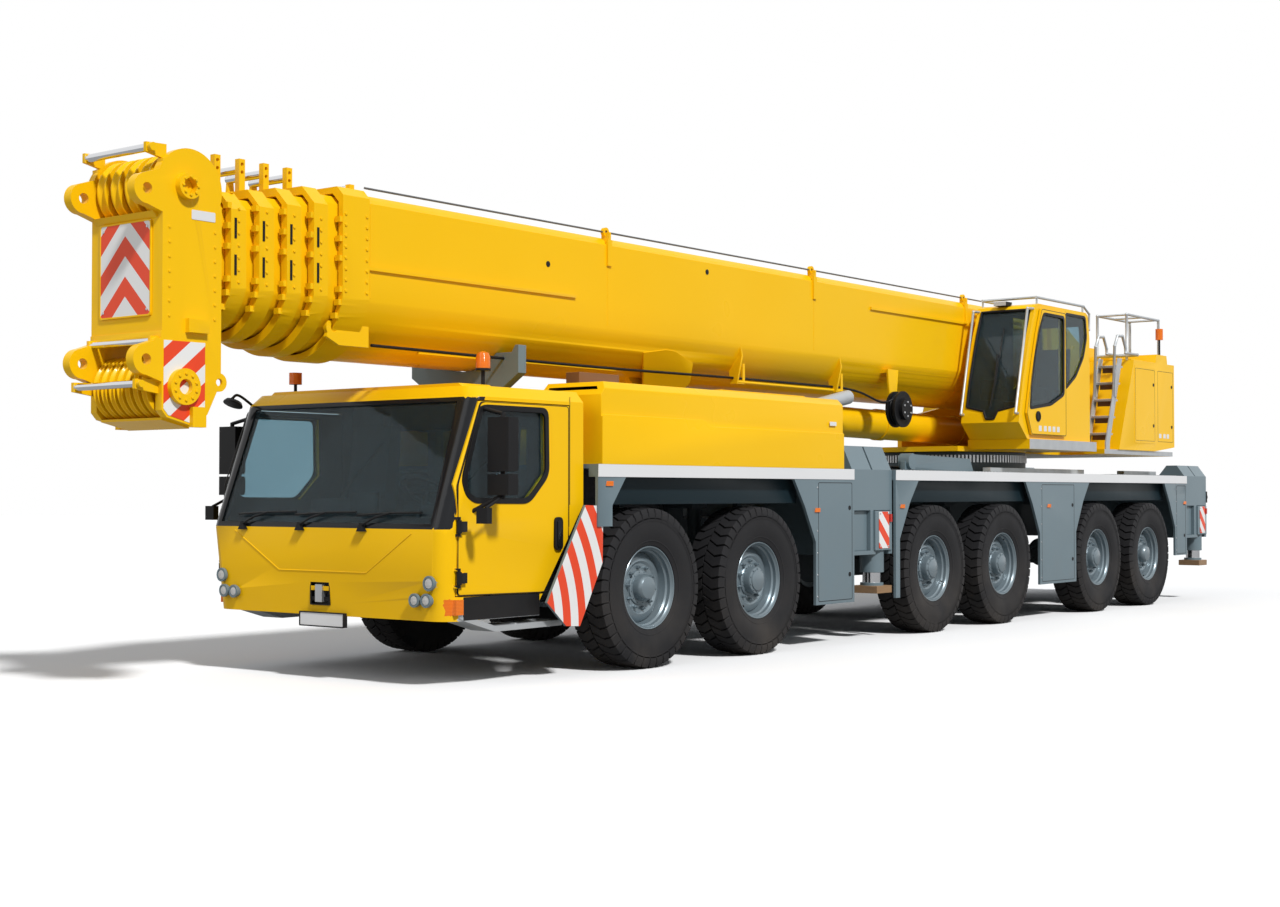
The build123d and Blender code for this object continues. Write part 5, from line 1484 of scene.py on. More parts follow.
    def ring_gear(self) -> None:
        """Add the ring gear's teeth and the bolts of the slewing bearing."""
        station, radius = self.slew
        bolt_height = 0.012
        shape = Shape()
        for piece, count, around, height, turn in (
                (slat((0.020, 0.024, 0.090)), 132, radius + 0.004, 1.915, math.pi / 2),
                (bolt(0.016, bolt_height), 60, radius - 0.045, self.bearing_top - bolt_height, -math.pi / 2)):
            move = Matrix.Translation((0.0, station, height)) @ Matrix.Rotation(turn, 4, "Y")
            shape.ring(piece, STEEL, count, around, move=move)
        self.plan.placed(shape, "ring_gear", "carrier")

    def deck_fittings(self) -> None:
        """Add the skirts' seams, locks and bolts, the decks' tread strips, and the channel's hoses."""
        shape = Shape()
        for ys, zs in self.skirts:
            seam = oblong((ys[0] + 0.03, ys[1] - 0.03), zs)
            shape.hoop(seam, 0.006, "x", (self.half - 0.002, self.half + 0.001), BLACK, 0.02)
            lock = ys[1] - 0.08
            for z in (zs[0] + 0.25, zs[1] - 0.25):
                shape.rod((self.half - 0.002, lock, z), (self.half + 0.004, lock, z), 0.022, BLACK)
            shape.row(bolt(0.009, 0.006, "x"), STEEL, 6, (self.half - 0.001, ys[0] + 0.012, zs[0] + 0.05),
                      (0.0, 0.0, (zs[1] - zs[0] - 0.1) / 5))
        for start, end in self.strips:
            shape.row(slat((0.33, 0.035, 0.008)), GALVANISED, int((end - start) / self.strip_step),
                      (1.27, start, self.deck_z + 0.003), (0.0, self.strip_step, 0.0))
        shape.twin()
        self.plan.placed(shape, "deck_fittings", "carrier")
        lines = Shape()
        for x, z in ((0.60, 1.775), (0.64, 1.772), (0.68, 1.778)):
            hose = [(x, 4.4, z), (x, 5.0, z + 0.02), (x + 0.05, 5.9, z), (x, 6.6, z + 0.015)]
            lines.pipe(curved(hose), 0.013, BLACK, 8)
        for y in (4.55, 4.75, 4.95):
            lines.box((0.55, 0.73), (y, y + 0.10), (self.deck_z - 0.002, 1.83), GALVANISED)
        lines.twin()
        self.plan.placed(lines, "deck_valves", "carrier", 0.004)

    def cover_fittings(self) -> None:
        """Add the bordered grilles and a blank label to the engine cover."""
        shape = Shape()
        for side in (1, -1):
            xs = sided(side, 0.86, 1.28)
            shape.box(xs, (1.30, 2.70), (2.425, 2.434), BLACK)
            shape.row(slat((0.42, 0.022, 0.012)), BLACK, 36, (sum(xs) / 2, 1.32, 2.440), (0.0, 0.0389, 0.0))
            border = oblong((xs[0] - 0.02, xs[1] + 0.02), (1.28, 2.72))
            shape.hoop(border, 0.03, "z", (2.425, 2.448), YELLOW, 0.02)
        shape.box((1.449, 1.453), (2.93, 3.05), (2.16, 2.20), RAIL_WHITE)
        self.plan.placed(shape, "cover_fittings", "carrier", 0.002)

    def rear_fittings(self) -> None:
        """Add the rear lamps, the blank plate and the reflectors."""
        rear = self.rear
        shape = Shape()
        for side in (1, -1):
            shape.box(sided(side, 0.99, 1.47), (rear - 0.005, rear + 0.025), (1.36, 1.52), BLACK)
            for x, finish in self.rear_lamps:
                shape.turned([(0.052, 0.0), (0.052, 0.018), (0.040, 0.028), (0.001, 0.032)],
                             (side * x, rear + 0.02, 1.44), (side * x, rear + 1.0, 1.44), finish, 24)
                shape.plate_with_hole((side * x, 1.44), 0.060, 0.051, "y", (rear + 0.02, rear + 0.045), BLACK)
            shape.box(sided(side, 0.80, 0.95), (rear, rear + 0.008), (1.40, 1.48), RED_LENS)
        shape.box((-0.27, 0.27), (rear, rear + 0.006), (1.38, 1.50), RAIL_WHITE)
        shape.hoop(oblong((-0.28, 0.28), (1.37, 1.51)), 0.014, "y", (rear, rear + 0.012), BLACK, 0.01)
        self.plan.placed(shape, "rear_lamps", "carrier", 0.003)


@dataclass
class CarrierCab:
    """The driver's cab with its doors, glass and seats."""

    plan: Plan
    half: float = 1.375
    # heights of the screen's border
    belt: float = 1.225
    brow: float = 2.235
    # height and station of the cab's front, from its lower edge to its roof
    front: Profile = ((0.52, -2.36), (1.22, -2.42), (2.24, -2.065), (2.33, -2.0))
    # each front lamp's distance out, height and radius
    lamps: tuple[Point, ...] = ((1.215, 0.811, 0.046), (1.185, 0.680, 0.042), (1.060, 0.678, 0.042))
    # corners of a door's window and of its edge, by station and height
    window: Profile = ((-2.185, 1.600), (-2.165, 1.500), (-2.080, 1.445), (-1.463, 1.440), (-1.240, 1.650),
                       (-1.250, 2.150), (-2.000, 2.150))
    door_edge: Profile = ((-2.265, 0.715), (-1.290, 0.700), (-1.130, 0.720), (-0.965, 1.060),
                          (-0.965, 2.205), (-2.010, 2.205), (-2.265, 1.560))
    # where each wiper's foot is across the screen, and the second roof lamp's place
    wipers: tuple[float, ...] = (-0.92, -0.22, 0.50)
    beacon: Span = (1.05, -1.64)

    def build(self) -> None:
        """Dress the cab's nodes and add its trim."""
        plan = self.plan
        plan.dressed("cab_shell", "carrier", YELLOW, 0.010, self.shell_zones())
        for side in Side:
            name = "cab_door_left" if side is Side.LEFT else "cab_door_right"
            plan.dressed(name, name, YELLOW, 0.004, self.door_zones())
            self.door_trim(name, side)
        seats = (Zone(SEAT, out=(0.44, 0.96), station=above(-1.68)),)
        plan.dressed("cab_interior", "carrier", CABIN_DARK, 0.015, seats)
        plan.painted("cab_glass", GLASS)
        self.face()
        self.screen()
        self.dashboard()
        LOG.info("carrier cab: shell, two doors, glass, wipers, lamps and seats")

    def shell_zones(self) -> tuple[Zone, ...]:
        """Return the zones of the cab's yellow shell.

        Returns:
            Its zones, in order.
        """
        plate = {"out": under(0.265), "station": under(-2.35), "z": under(0.552)}
        lamps = []
        for out, z, radius in self.lamps:
            bowl = {"station": under(-2.33), "centre": (out, z), "radius": radius + 0.004}
            lamps += [Lamp(CLEAR_LENS, facing=AHEAD, least=0.9, **bowl), Lamp(GREY, **bowl)]
        return (Room(CABIN_DARK, middle=(0.0, -1.6, 1.62), half=(1.316, 0.86, 0.66)),
                # the screen's border
                Zone(GLOSS_BLACK, z=(self.belt, self.brow), facing=AHEAD, least=0.3),
                # the roof lamp's glass, foot and post
                Zone(AMBER_LENS, x=under(-0.9), z=above(2.435)),
                Zone(BLACK, x=under(-0.9), z=above(2.42)),
                Zone(BLACK, x=under(-0.95), z=above(2.34)),
                # the turn lamps, the number plate with its carrier, and the steps
                Zone(AMBER_LENS, out=above(self.half - 0.075), station=under(-2.2), z=(0.565, 0.69)),
                Zone(RAIL_WHITE, facing=AHEAD, least=0.5, **plate), Zone(BLACK, **plate),
                Zone(GALVANISED, out=(1.11, 1.368), station=above(-2.24), z=under(0.60)),
                # the hitch's recess
                Zone(BLACK, x=(-0.15, 0.08), station=above(-2.372), z=(0.60, 0.79)),
                *lamps,
                # side markers and the underside
                Zone(BLACK, out=above(self.half + 0.002), z=under(1.4)),
                Zone(BLACK, z=under(1.1), facing=DOWN))

    def door_zones(self) -> tuple[Zone, ...]:
        """Return the zones of a yellow door: black mirrors and handle, and its dark inside."""
        return (Zone(BLACK, out=above(self.half + 0.005)), Zone(CABIN_DARK, facing=INWARDS))

    def front_at(self, z: float, out: float = 0.0) -> float:
        """Return the station of the cab's front at a height, or of a place some way before it."""
        return level(self.front, z) - out

    def door_trim(self, name: str, side: Side) -> None:
        """Add a door's window frame, glass, seams, handle and mirror glass.

        Args:
            name: The door's node and body.
            side: The side that it is on.
        """
        shape = Shape()
        skin = self.half
        shape.hoop(inset(self.window, -0.030), 0.044, "x", (skin - 0.012, skin + 0.007), BLACK, 0.08)
        shape.prism(inset(self.window, -0.002), "x", (skin - 0.036, skin - 0.030), GLASS)
        shape.hoop(inset(self.door_edge, 0.002), 0.006, "x", (skin - 0.012, skin + 0.0015), BLACK, 0.03)
        handle = oblong((-1.140, -1.065), (1.045, 1.290))
        shape.prism(rounded(inset(handle, -0.012), 0.045), "x", (skin - 0.004, skin + 0.018), BLACK)
        shape.prism(rounded(inset(handle, 0.014), 0.02), "x", (skin, skin + 0.026), GLOSS_BLACK)
        for zs in ((1.479, 1.640), (1.660, 2.074)):
            rim = oblong((skin + 0.110, skin + 0.324), zs)
            shape.prism(rounded(inset(rim, 0.015), 0.03), "y", (-1.951, -1.946), CHROME)
            shape.hoop(rim, 0.016, "y", (-1.952, -1.938), BLACK, 0.035)
        if side is Side.RIGHT:
            shape.mirror(shape.mesh.verts, shape.mesh.faces)
        self.plan.placed(shape, "trim_" + name, name, 0.002)

    def face(self) -> None:
        """Add the front's crease, lamp rims, plate frame and hitch, the seams, sills, steps and hatch."""
        shape = Shape()
        crease = [(-1.036, 1.188), (-0.512, 0.872), (0.512, 0.872), (1.036, 1.188)]
        shape.pipe([(x, self.front_at(z, -0.001), z) for x, z in crease], 0.006, YELLOW, 8)
        for x, z, radius in self.lamps:
            for side in (1, -1):
                shape.plate_with_hole((side * x, z), radius + 0.012, radius - 0.003, "y", (-2.420, -2.395),
                                      GREY)
                shape.turned([(radius - 0.004, 0.0), (radius * 0.8, 0.008), (0.001, 0.012)],
                             (side * x, -2.411, z), (side * x, -3.0, z), CLEAR_LENS, 28)
        shape.hoop(oblong((-0.262, 0.262), (0.428, 0.547)), 0.010, "y", (-2.397, -2.388), BLACK, 0.01)
        hatch = (self.front_at(0.69, 0.006), self.front_at(0.69, -0.02))
        shape.hoop(oblong((-0.150, 0.080), (0.600, 0.788)), 0.008, "y", hatch, BLACK, 0.012)
        shape.box((-0.075, 0.005), (-2.395, -2.34), (0.625, 0.765), STEEL)
        for side in (1, -1):
            seam = sided(side, self.half - 0.0015, self.half + 0.0015)
            shape.box(seam, (-0.955, -0.949), (1.40, 2.28), BLACK)
            sill = sided(side, self.half - 0.030, self.half - 0.008)
            shape.box(sill, (-2.190, -1.315), (0.525, 0.702), BLACK)
            for stations, heights in (((-2.16, -2.0), (0.53, 0.565)), ((-1.6, -1.2), (0.42, 0.475))):
                for y in stations:
                    shape.box(sided(side, 1.12, 1.36), (y, y + 0.02), heights, GALVANISED)
        shape.box((-0.32, 0.32), (-1.45, -0.95), (2.328, 2.352), YELLOW)
        shape.hoop(oblong((-0.34, 0.34), (-1.47, -0.93)), 0.02, "z", (2.328, 2.342), BLACK, 0.03)
        self.plan.placed(shape, "cab_face", "carrier", 0.002)

    def screen(self) -> None:
        """Add three parked wipers, the mirror over the screen's corner and the second roof lamp."""
        shape = Shape()
        for x in self.wipers:
            foot = [(x - 0.045, 1.196), (x + 0.045, 1.196), (x + 0.006, 1.262), (x - 0.006, 1.262)]
            shape.prism(foot, "y", (self.front_at(1.22, 0.030), self.front_at(1.22, -0.01)), BLACK)
            path = [(x, 1.240), (x + 0.12, 1.300), (x + 0.28, 1.340)]
            shape.pipe([(a, self.front_at(z, 0.030), z) for a, z in path], 0.009, BLACK, 8)
            blade = [(x - 0.08, 1.322), (x + 0.28, 1.340), (x + 0.62, 1.346)]
            shape.pipe([(a, self.front_at(z, 0.018), z) for a, z in blade], 0.010, BLACK, 6)
        arm = [(-1.31, -1.93, 2.20), (-1.33, -2.14, 2.33), (-1.32, -2.23, 2.30)]
        shape.pipe(curved(arm), 0.012, BLACK, 8)
        shape.turned([(0.001, 0.0), (0.07, 0.012), (0.085, 0.035), (0.085, 0.045), (0.001, 0.05)],
                     (-1.32, -2.20, 2.29), (-1.32, -2.24, 2.20), BLACK, 24)
        x, y = self.beacon
        shape.rod((x, y, 2.325), (x, y, 2.49), 0.016, BLACK)
        shape.rod((x, y, 2.47), (x, y, 2.49), 0.062, BLACK)
        shape.turned([(0.058, 0.0), (0.058, 0.09), (0.045, 0.125), (0.001, 0.14)], (x, y, 2.49), (x, y, 3.0),
                     AMBER_LENS, 32)
        self.plan.placed(shape, "cab_screen_trim", "carrier", 0.0)

    def dashboard(self) -> None:
        """Add dials, a screen, head rests and seat belts inside the cab."""
        shape = Shape()
        shape.box((0.50, 0.92), (-1.98, -1.93), (1.30, 1.40), BLACK)
        shape.box((-0.10, 0.22), (-2.00, -1.97), (1.30, 1.50), GLOSS_BLACK)
        for x in (0.58, 0.70, 0.82):
            shape.rod((x, -1.93, 1.35), (x, -1.925, 1.35), 0.035, RAIL_WHITE, 20)
        for x in (-0.7, 0.7):
            shape.box((x - 0.13, x + 0.13), (-1.17, -1.08), (2.02, 2.20), SEAT)
            belt = [(x + 0.20, -1.16, 2.00), (x - 0.05, -1.36, 1.62), (x - 0.20, -1.36, 1.46)]
            shape.pipe(belt, 0.012, BLACK, 6)
        self.plan.placed(shape, "dashboard", "carrier", 0.006)


# -------- upper works
@dataclass
class UpperWorks:
    """Slewing table, upper engine housing, winch, ladder and the crane cab."""

    plan: Plan
    # the crane cab's width, and its sliding door's skin
    cab_x: Span = (0.700, 1.450)
    skin: Span = (1.457, 1.487)
    # height and station of the crane cab's front
    front: Profile = ((2.33, 7.10), (2.45, 7.12), (2.88, 7.23), (3.38, 7.40), (3.74, 7.56))
    # corners of the sliding door, its window and the rear window, by station and height
    door_edge: Profile = ((7.370, 2.190), (7.250, 2.440), (7.370, 2.900), (7.520, 3.370), (7.660, 3.705),
                          (8.330, 3.700), (8.330, 2.190))
    door_window: Profile = ((7.334, 2.505), (7.373, 2.767), (7.469, 3.113), (7.590, 3.440), (7.710, 3.644),
                            (8.274, 3.642), (8.262, 2.704), (7.900, 2.570))
    rear_window: Profile = ((8.411, 2.790), (8.411, 3.700), (8.985, 3.700), (9.020, 3.451), (8.924, 3.202),
                            (8.693, 2.950))
    # the winch drum's station, height and radius
    drum: Point = (11.350, 2.480, 0.211)
    # the rope's turns on the drum: the way from each to the next, and their number
    rope_pitch: float = 0.022
    rope_turns: int = 36

    def build(self) -> None:
        """Dress the nodes that slew and add their fittings."""
        plan = self.plan
        platform = (Zone(GALVANISED, x=above(1.455), z=above(2.01)),)
        plan.dressed("turntable_frame", "superstructure", YELLOW, 0.006, platform)
        beacon = (Zone(AMBER_LENS, x=above(1.3), z=above(3.585)), Zone(BLACK, x=above(1.3), z=above(3.372)))
        plan.dressed("engine_housing", "superstructure", YELLOW, 0.012, beacon)
        plan.dressed("winch", "superstructure", YELLOW, 0.004)
        plan.dressed("ladder_rails", "superstructure", GALVANISED, 0.0)
        plan.dressed("crane_cab_shell", "crane_cab", YELLOW, 0.010, self.shell_zones())
        inside = (Zone(CABIN_DARK, facing=INWARDS),)
        plan.dressed("crane_cab_door", "crane_cab_door", YELLOW, 0.004, inside)
        plan.dressed("crane_cab_seat", "crane_cab", SEAT, 0.015)
        plan.painted("crane_cab_glass", GLASS)
        self.cab_trim()
        self.door_trim()
        self.rope_drum()
        self.housing_trim()
        self.stair()
        LOG.info("upper works: table, housing, winch, ladder and crane cab")

    def shell_zones(self) -> tuple[Zone, ...]:
        """Return the zones of the crane cab's yellow shell.

        Returns:
            Its zones, in order.
        """
        left, right = self.cab_x
        work_lamp = {"x": (0.94, 1.12), "station": under(7.65), "z": above(3.75)}
        rails = []
        for x in (left + 0.02, right - 0.02):
            rail = {"x": (x - 0.0165, x + 0.0165), "z": above(2.40)}
            rails += [Before(GALVANISED, line=self.front, **rail),
                      Zone(GALVANISED, station=above(9.112), **rail)]
        return (Room(CABIN_DARK, middle=((left + right) / 2, 8.1, 2.95), half=(0.331, 0.98, 0.79)),
                # the roof's rails, then the work lamp before them
                Zone(GALVANISED, station=above(7.60), z=above(3.766)),
                Zone(CLEAR_LENS, facing=AHEAD, least=0.9, **work_lamp), Zone(BLACK, **work_lamp),
                *rails)

    def front_line(self, outline: Sequence[Span], out: float, steps: int = 8) -> list[Point]:
        """Return (x, z) corners as a closed line on the crane cab's front.

        Args:
            outline: The corners.
            out: How far the line stands out from the front.
            steps: How many stretches each side is cut into.

        Returns:
            The line's points, the first one again at its end.
        """
        line = []
        for (xa, za), (xb, zb) in zip(outline, [*outline[1:], outline[0]]):
            for k in range(steps):
                x, z = xa + (xb - xa) * k / steps, za + (zb - za) * k / steps
                line.append((x, level(self.front, z) - out, z))
        return [*line, line[0]]

    def cab_trim(self) -> None:
        """Add the front window's border and wiper, the rear window's border and the controls."""
        shape = Shape()
        left, right = self.cab_x[1] - 0.06, self.cab_x[0] + 0.06
        middle = (left + right) / 2
        outline = [(right, 2.52), (middle - 0.09, 2.47), (middle - 0.05, 2.375), (middle + 0.05, 2.375),
                   (middle + 0.09, 2.47), (left, 2.52), (left, 3.69), (right, 3.69)]
        shape.pipe(self.front_line(outline, 0.0), 0.016, BLACK, 8)
        wiper = [(middle, 2.50), (middle + 0.02, 2.80), (middle + 0.01, 3.15)]
        shape.pipe([(x, level(self.front, z) - 0.022, z) for x, z in wiper], 0.010, BLACK, 8)
        blade = [(middle + 0.03, 2.78), (middle + 0.03, 3.10), (middle + 0.03, 3.48)]
        shape.pipe([(x, level(self.front, z) - 0.012, z) for x, z in blade], 0.008, BLACK, 6)
        skin = (self.cab_x[1] - 0.010, self.cab_x[1] + 0.0015)
        shape.hoop(inset(self.rear_window, -0.020), 0.034, "x", skin, BLACK, 0.06)
        for x in (middle - 0.20, middle + 0.20):
            shape.box((x - 0.05, x + 0.05), (7.90, 8.25), (2.62, 2.78), CABIN_DARK)
            shape.rod((x, 7.96, 2.78), (x, 7.94, 2.95), 0.012, BLACK, 10)
            shape.rod((x, 7.94, 2.95), (x, 7.935, 3.02), 0.024, BLACK, 12)
        shape.box((middle - 0.28, middle - 0.02), (7.42, 7.45), (2.62, 2.86), GLOSS_BLACK)
        self.plan.placed(shape, "crane_cab_trim", "crane_cab", 0.003)

    def door_trim(self) -> None:
        """Add the sliding door's glass, borders, handle and blank labels."""
        shape = Shape()
        inside, outside = self.skin
        shape.hoop(inset(self.door_window, -0.020), 0.034, "x", (outside - 0.012, outside + 0.005), BLACK,
                   0.06)
        shape.prism(inset(self.door_window, -0.002), "x", (inside + 0.008, inside + 0.013), GLASS)
        shape.hoop(inset(self.door_edge, 0.003), 0.007, "x", (outside - 0.004, outside + 0.002), BLACK, 0.03)
        shape.turned([(0.062, 0.0), (0.062, 0.014), (0.040, 0.020), (0.040, 0.012), (0.001, 0.012)],
                     (outside - 0.002, 7.539, 2.41), (outside + 1.0, 7.539, 2.41), BLACK, 28)
        for y in (7.56, 7.70, 7.82, 7.94, 8.06):
            shape.box((outside - 0.001, outside + 0.002), (y, y + 0.075), (2.235, 2.300), RAIL_WHITE)
        self.plan.placed(shape, "crane_cab_door_trim", "crane_cab_door", 0.002)

    def rope_drum(self) -> None:
        """Wind the hoist rope on the winch's drum."""
        station, z, radius = self.drum
        turn = Shape()
        turn.lathe([(radius, 0.0), (radius + 0.011, 0.0045), (radius + 0.0155, 0.011),
                    (radius + 0.011, 0.0175), (radius, self.rope_pitch)], ROPE, 44)
        shape = Shape()
        half = self.rope_turns * self.rope_pitch / 2
        shape.row(plain_mesh(turn), ROPE, self.rope_turns, (-half, station, z), (self.rope_pitch, 0.0, 0.0))
        for side in (1, -1):
            end = Matrix.Translation((side * 0.519, station, z)) @ Matrix.Diagonal((side, 1, 1, 1))
            shape.ring(bolt(0.016, 0.012), STEEL, 10, 0.13, move=end)
        self.plan.placed(shape, "hoist_rope", "superstructure")

    def housing_trim(self) -> None:
        """Add seams, locks and grilles to the upper engine housing."""
        shape = Shape()
        for side in (1, -1):
            for start, end, face in ((10.42, 11.12, 1.504), (11.19, 11.77, 1.500)):
                seam = oblong((start + 0.02, end - 0.02), (2.19, 3.15))
                shape.hoop(seam, 0.006, "x", sided(side, face - 0.003, face + 0.001), BLACK, 0.02)
                lock = end - 0.07
                for z in (2.40, 2.95):
                    shape.rod((side * (face - 0.003), lock, z), (side * (face + 0.006), lock, z), 0.022,
                              BLACK, 16)
            grille = sided(side, 0.78, 1.40)
            shape.box(grille, (11.796, 11.803), (2.35, 3.05), BLACK)
            shape.row(slat((0.60, 0.020, 0.016)), BLACK, 20, (sum(grille) / 2, 11.806, 2.375),
                      (0.0, 0.0, 0.0345))
            border = oblong((grille[0] - 0.02, grille[1] + 0.02), (2.33, 3.07))
            shape.hoop(border, 0.03, "y", (11.796, 11.815), YELLOW, 0.02)
        shape.row(slat((0.010, 0.50, 0.018)), BLACK, 16, (-1.507, 10.77, 2.50), (0.0, 0.0, 0.035))
        for y in (11.25, 11.40, 11.52):
            shape.box((1.499, 1.5025), (y, y + 0.08), (2.24, 2.30), RAIL_WHITE)
        self.plan.placed(shape, "housing_trim", "superstructure", 0.002)

    def stair(self) -> None:
        """Add the treads' brown risers and the stringers' bolts to the ladder."""
        shape = Shape()
        low, high = Vector((9.600, 2.145)), Vector((10.010, 3.250))
        for step in range(5):
            y, z = low + (high - low) * ((step + 0.5) / 5)
            shape.box((1.222, 1.458), (y + 0.062, y + 0.070), (z - 0.075, z + 0.015), BROWN)
            shape.row(bolt(0.010, 0.006), GALVANISED, 8, (1.235, y - 0.02, z + 0.012), (0.030, 0.0, 0.0))
        self.plan.placed(shape, "stair_treads", "superstructure", 0.001)


# -------- boom
@dataclass
class Boom:
    """Six boom sections, the head and the luffing cylinder."""

    plan: Plan
    half: float = 0.550
    top: float = 3.830
    # how much smaller each section is all round, and how thick the collars are on them
    step: float = 0.040
    collar: float = 0.045
    # the first collar's station, and the way from each to the next
    collar_front: float = -2.980
    collar_pitch: float = 0.230
    # station, height and radius of the rollers across the head's front
    rollers: tuple[Point, ...] = ((-4.340, 3.930, 0.030), (-4.300, 2.567, 0.024), (-4.425, 2.258, 0.026))
    # station and height of each black port in the base's sides
    ports: tuple[Span, ...] = ((-0.274, 3.504), (2.110, 3.668))
    # axis, distance out, bolt circle and number of bolts of the two sheave axles' ends
    sheave_ends: tuple[tuple[Span, float, float, int], ...] = (((-4.060, 3.685), 0.469, 0.065, 8),
                                                               ((-4.084, 2.250), 0.459, 0.095, 10))
    # station and height of the hose drum's axis
    hose_drum: Span = (5.65, 2.445)

    def build(self) -> None:
        """Dress the boom's nodes and add its fittings."""
        plan = self.plan
        base = (Bar(BLACK, x=above(0.598), centre=self.hose_drum, radius=0.215),
                Bar(CHROME, x=(-0.2, 0.18), centre=(-2.30, 3.925), radius=0.034))
        plan.dressed("boom_base", "boom_base", YELLOW, 0.006, base)
        for number in range(1, 6):
            plan.dressed(f"boom_tele_{number}", f"boom_tele_{number}", YELLOW, 0.004, self.section_zones())
        plan.dressed("head_pulleys", "boom_tele_5", YELLOW, 0.006)
        plan.dressed("luff_barrel", "luff_barrel", YELLOW, 0.006)
        plan.dressed("luff_rod", "luff_rod", CHROME, 0.004)
        self.base_fittings()
        for number in range(1, 5):
            self.collar_bolts(number)
        self.head_fittings()
        LOG.info("boom: base, five sections, head, ropes, hoses and cylinder")

    def section_zones(self) -> tuple[Zone, ...]:
        """Return the zones of a yellow section: the head's sign and the rollers under the ropes.

        Returns:
            Its zones, in order.
        """
        sign = Zone(CHEVRONS, out=under(0.30), station=under(-4.265), z=(2.75, 3.44), facing=AHEAD, least=0.9)
        rollers = [Bar(CHROME, out=under(0.345), centre=(station, z), radius=radius + 0.004)
                   for station, z, radius in self.rollers]
        return (sign, *rollers, Zone(CHROME, x=(-0.20, 0.178), station=above(-3.75), z=above(3.885)))

    def base_fittings(self) -> None:
        """Add the guided rope, hoses, ports, bolts and seams of the base section."""
        shape = Shape()
        for side in (1, -1):
            shape.pipe([(side * 0.5075, -2.42, 3.885), (side * 0.5075, 10.28, 3.885)], 0.009, ROPE, 8)
            port = (side * (self.half - 0.001), side * (self.half + 0.004))
            for y, z in self.ports:
                shape.rod((port[0], y, z), (port[1], y, z), 0.026, BLACK)
            for y in (-2.68, -2.46):
                shape.row(bolt(0.014, 0.010, outward(side)), YELLOW, 8, (side * (self.half + 0.029), y, 3.05),
                          (0.0, 0.0, 0.085))
            seam = sided(side, self.half - 0.001, self.half + 0.0025)
            for y in (-2.40, 0.55, 4.05, 7.50):
                shape.box(seam, (y, y + 0.012), (3.02, 3.74), YELLOW)
            hose = [(side * 0.462, -2.30, 2.66), (side * 0.470, 0.4, 2.645), (side * 0.452, 2.69, 2.66),
                    (side * 0.452, 4.78, 2.66)]
            shape.pipe(curved(hose), 0.013, BLACK, 8)
        drop = [(0.452, 4.78, 2.66), (0.50, 5.10, 2.62), (0.60, 5.40, 2.52), (0.675, 5.56, 2.56)]
        shape.pipe(curved(drop), 0.013, BLACK, 8)
        coil = Shape()
        coil.lathe([(0.150, 0.0), (0.163, 0.005), (0.168, 0.012), (0.163, 0.019), (0.150, 0.024)], BLACK, 36)
        shape.row(plain_mesh(coil), BLACK, 3, (0.645, *self.hose_drum), (0.024, 0.0, 0.0))
        shape.ring(bolt(0.012, 0.010), STEEL, 6, 0.08, move=Matrix.Translation((0.790, *self.hose_drum)))
        self.plan.placed(shape, "boom_base_fittings", "boom_base", 0.0)

    def collar_bolts(self, number: int) -> None:
        """Add bolts and wear-pad covers to one section's collar.

        Args:
            number: The section's number, from 1 for the widest.
        """
        front = self.collar_front - (number - 1) * self.collar_pitch
        half = self.half - number * self.step + self.collar
        top = self.top - number * self.step + self.collar
        shape = Shape()
        for side in (1, -1):
            shape.row(bolt(0.012, 0.010, outward(side)), YELLOW, 7,
                      (side * (half - 0.001), front + 0.07, 3.04), (0.0, 0.0, 0.09))
            pad = sided(side, half - 0.002, half + 0.006)
            for z in (3.09, 3.36):
                shape.box(pad, (front + 0.030, front + 0.050), (z, z + 0.15), BLACK)
        shape.row(bolt(0.014, 0.010), YELLOW, 6, (-0.30, front + 0.11, top - 0.001), (0.12, 0.0, 0.0))
        self.plan.placed(shape, f"collar_bolts_{number}", f"boom_tele_{number}", 0.001)

    def head_fittings(self) -> None:
        """Add the head's striped side plates, blank labels, bolts, the sign's border and the chain."""
        shape = Shape()
        outline = [(-4.245, 2.090), (-4.205, 2.045), (-3.975, 1.985), (-3.885, 2.060), (-3.885, 2.575),
                   (-4.245, 2.575)]
        label = rounded(oblong((-4.010, -3.800), (3.455, 3.525)), 0.01)
        for side in (1, -1):
            plate = sided(side, 0.4145, 0.4185)
            shape.prism(outline, "x", plate, HEAD_BANDS)
            shape.prism(label, "x", plate, RAIL_WHITE)
            for axle, out, radius, count in self.sheave_ends:
                end = Matrix.Translation((side * out, *axle)) @ Matrix.Diagonal((side, 1, 1, 1))
                shape.ring(bolt(0.012, 0.012), YELLOW, count, radius, move=end)
            for y in (-4.20, -3.80):
                shape.row(bolt(0.012, 0.008, outward(side)), YELLOW, 7, (side * 0.414, y, 2.75),
                          (0.0, 0.0, 0.105))
        shape.hoop(oblong((-0.300, 0.300), (2.752, 3.440)), 0.012, "y", (-4.2745, -4.262), YELLOW, 0.03)
        for side in (1, -1):
            for z in (2.80, 3.39):
                shape.rod((side * 0.255, -4.271, z), (side * 0.255, -4.276, z), 0.010, STEEL, 12)
        self.plan.placed(shape, "head_fittings", "boom_tele_5", 0.001)
        links = Shape()
        for turn in range(7):
            y = -3.86 + 0.012 * turn
            loop = [(0.30 - 0.01 * turn, y, 2.60), (0.32, y - 0.02, 2.52 - 0.01 * turn),
                    (0.26, y, 2.47 - 0.008 * turn), (0.18, y, 2.53), (0.16, y, 2.60)]
            links.pipe(curved(loop), 0.012, IRON, 6)
        self.plan.placed(links, "head_chain", "boom_tele_5", 0.0)


# -------- studio
@dataclass(frozen=True)
class Sun:
    """A sun lamp: where it stands seen from the floor, its strength and its width in degrees."""

    name: str
    way: Point
    energy: float
    angle: float


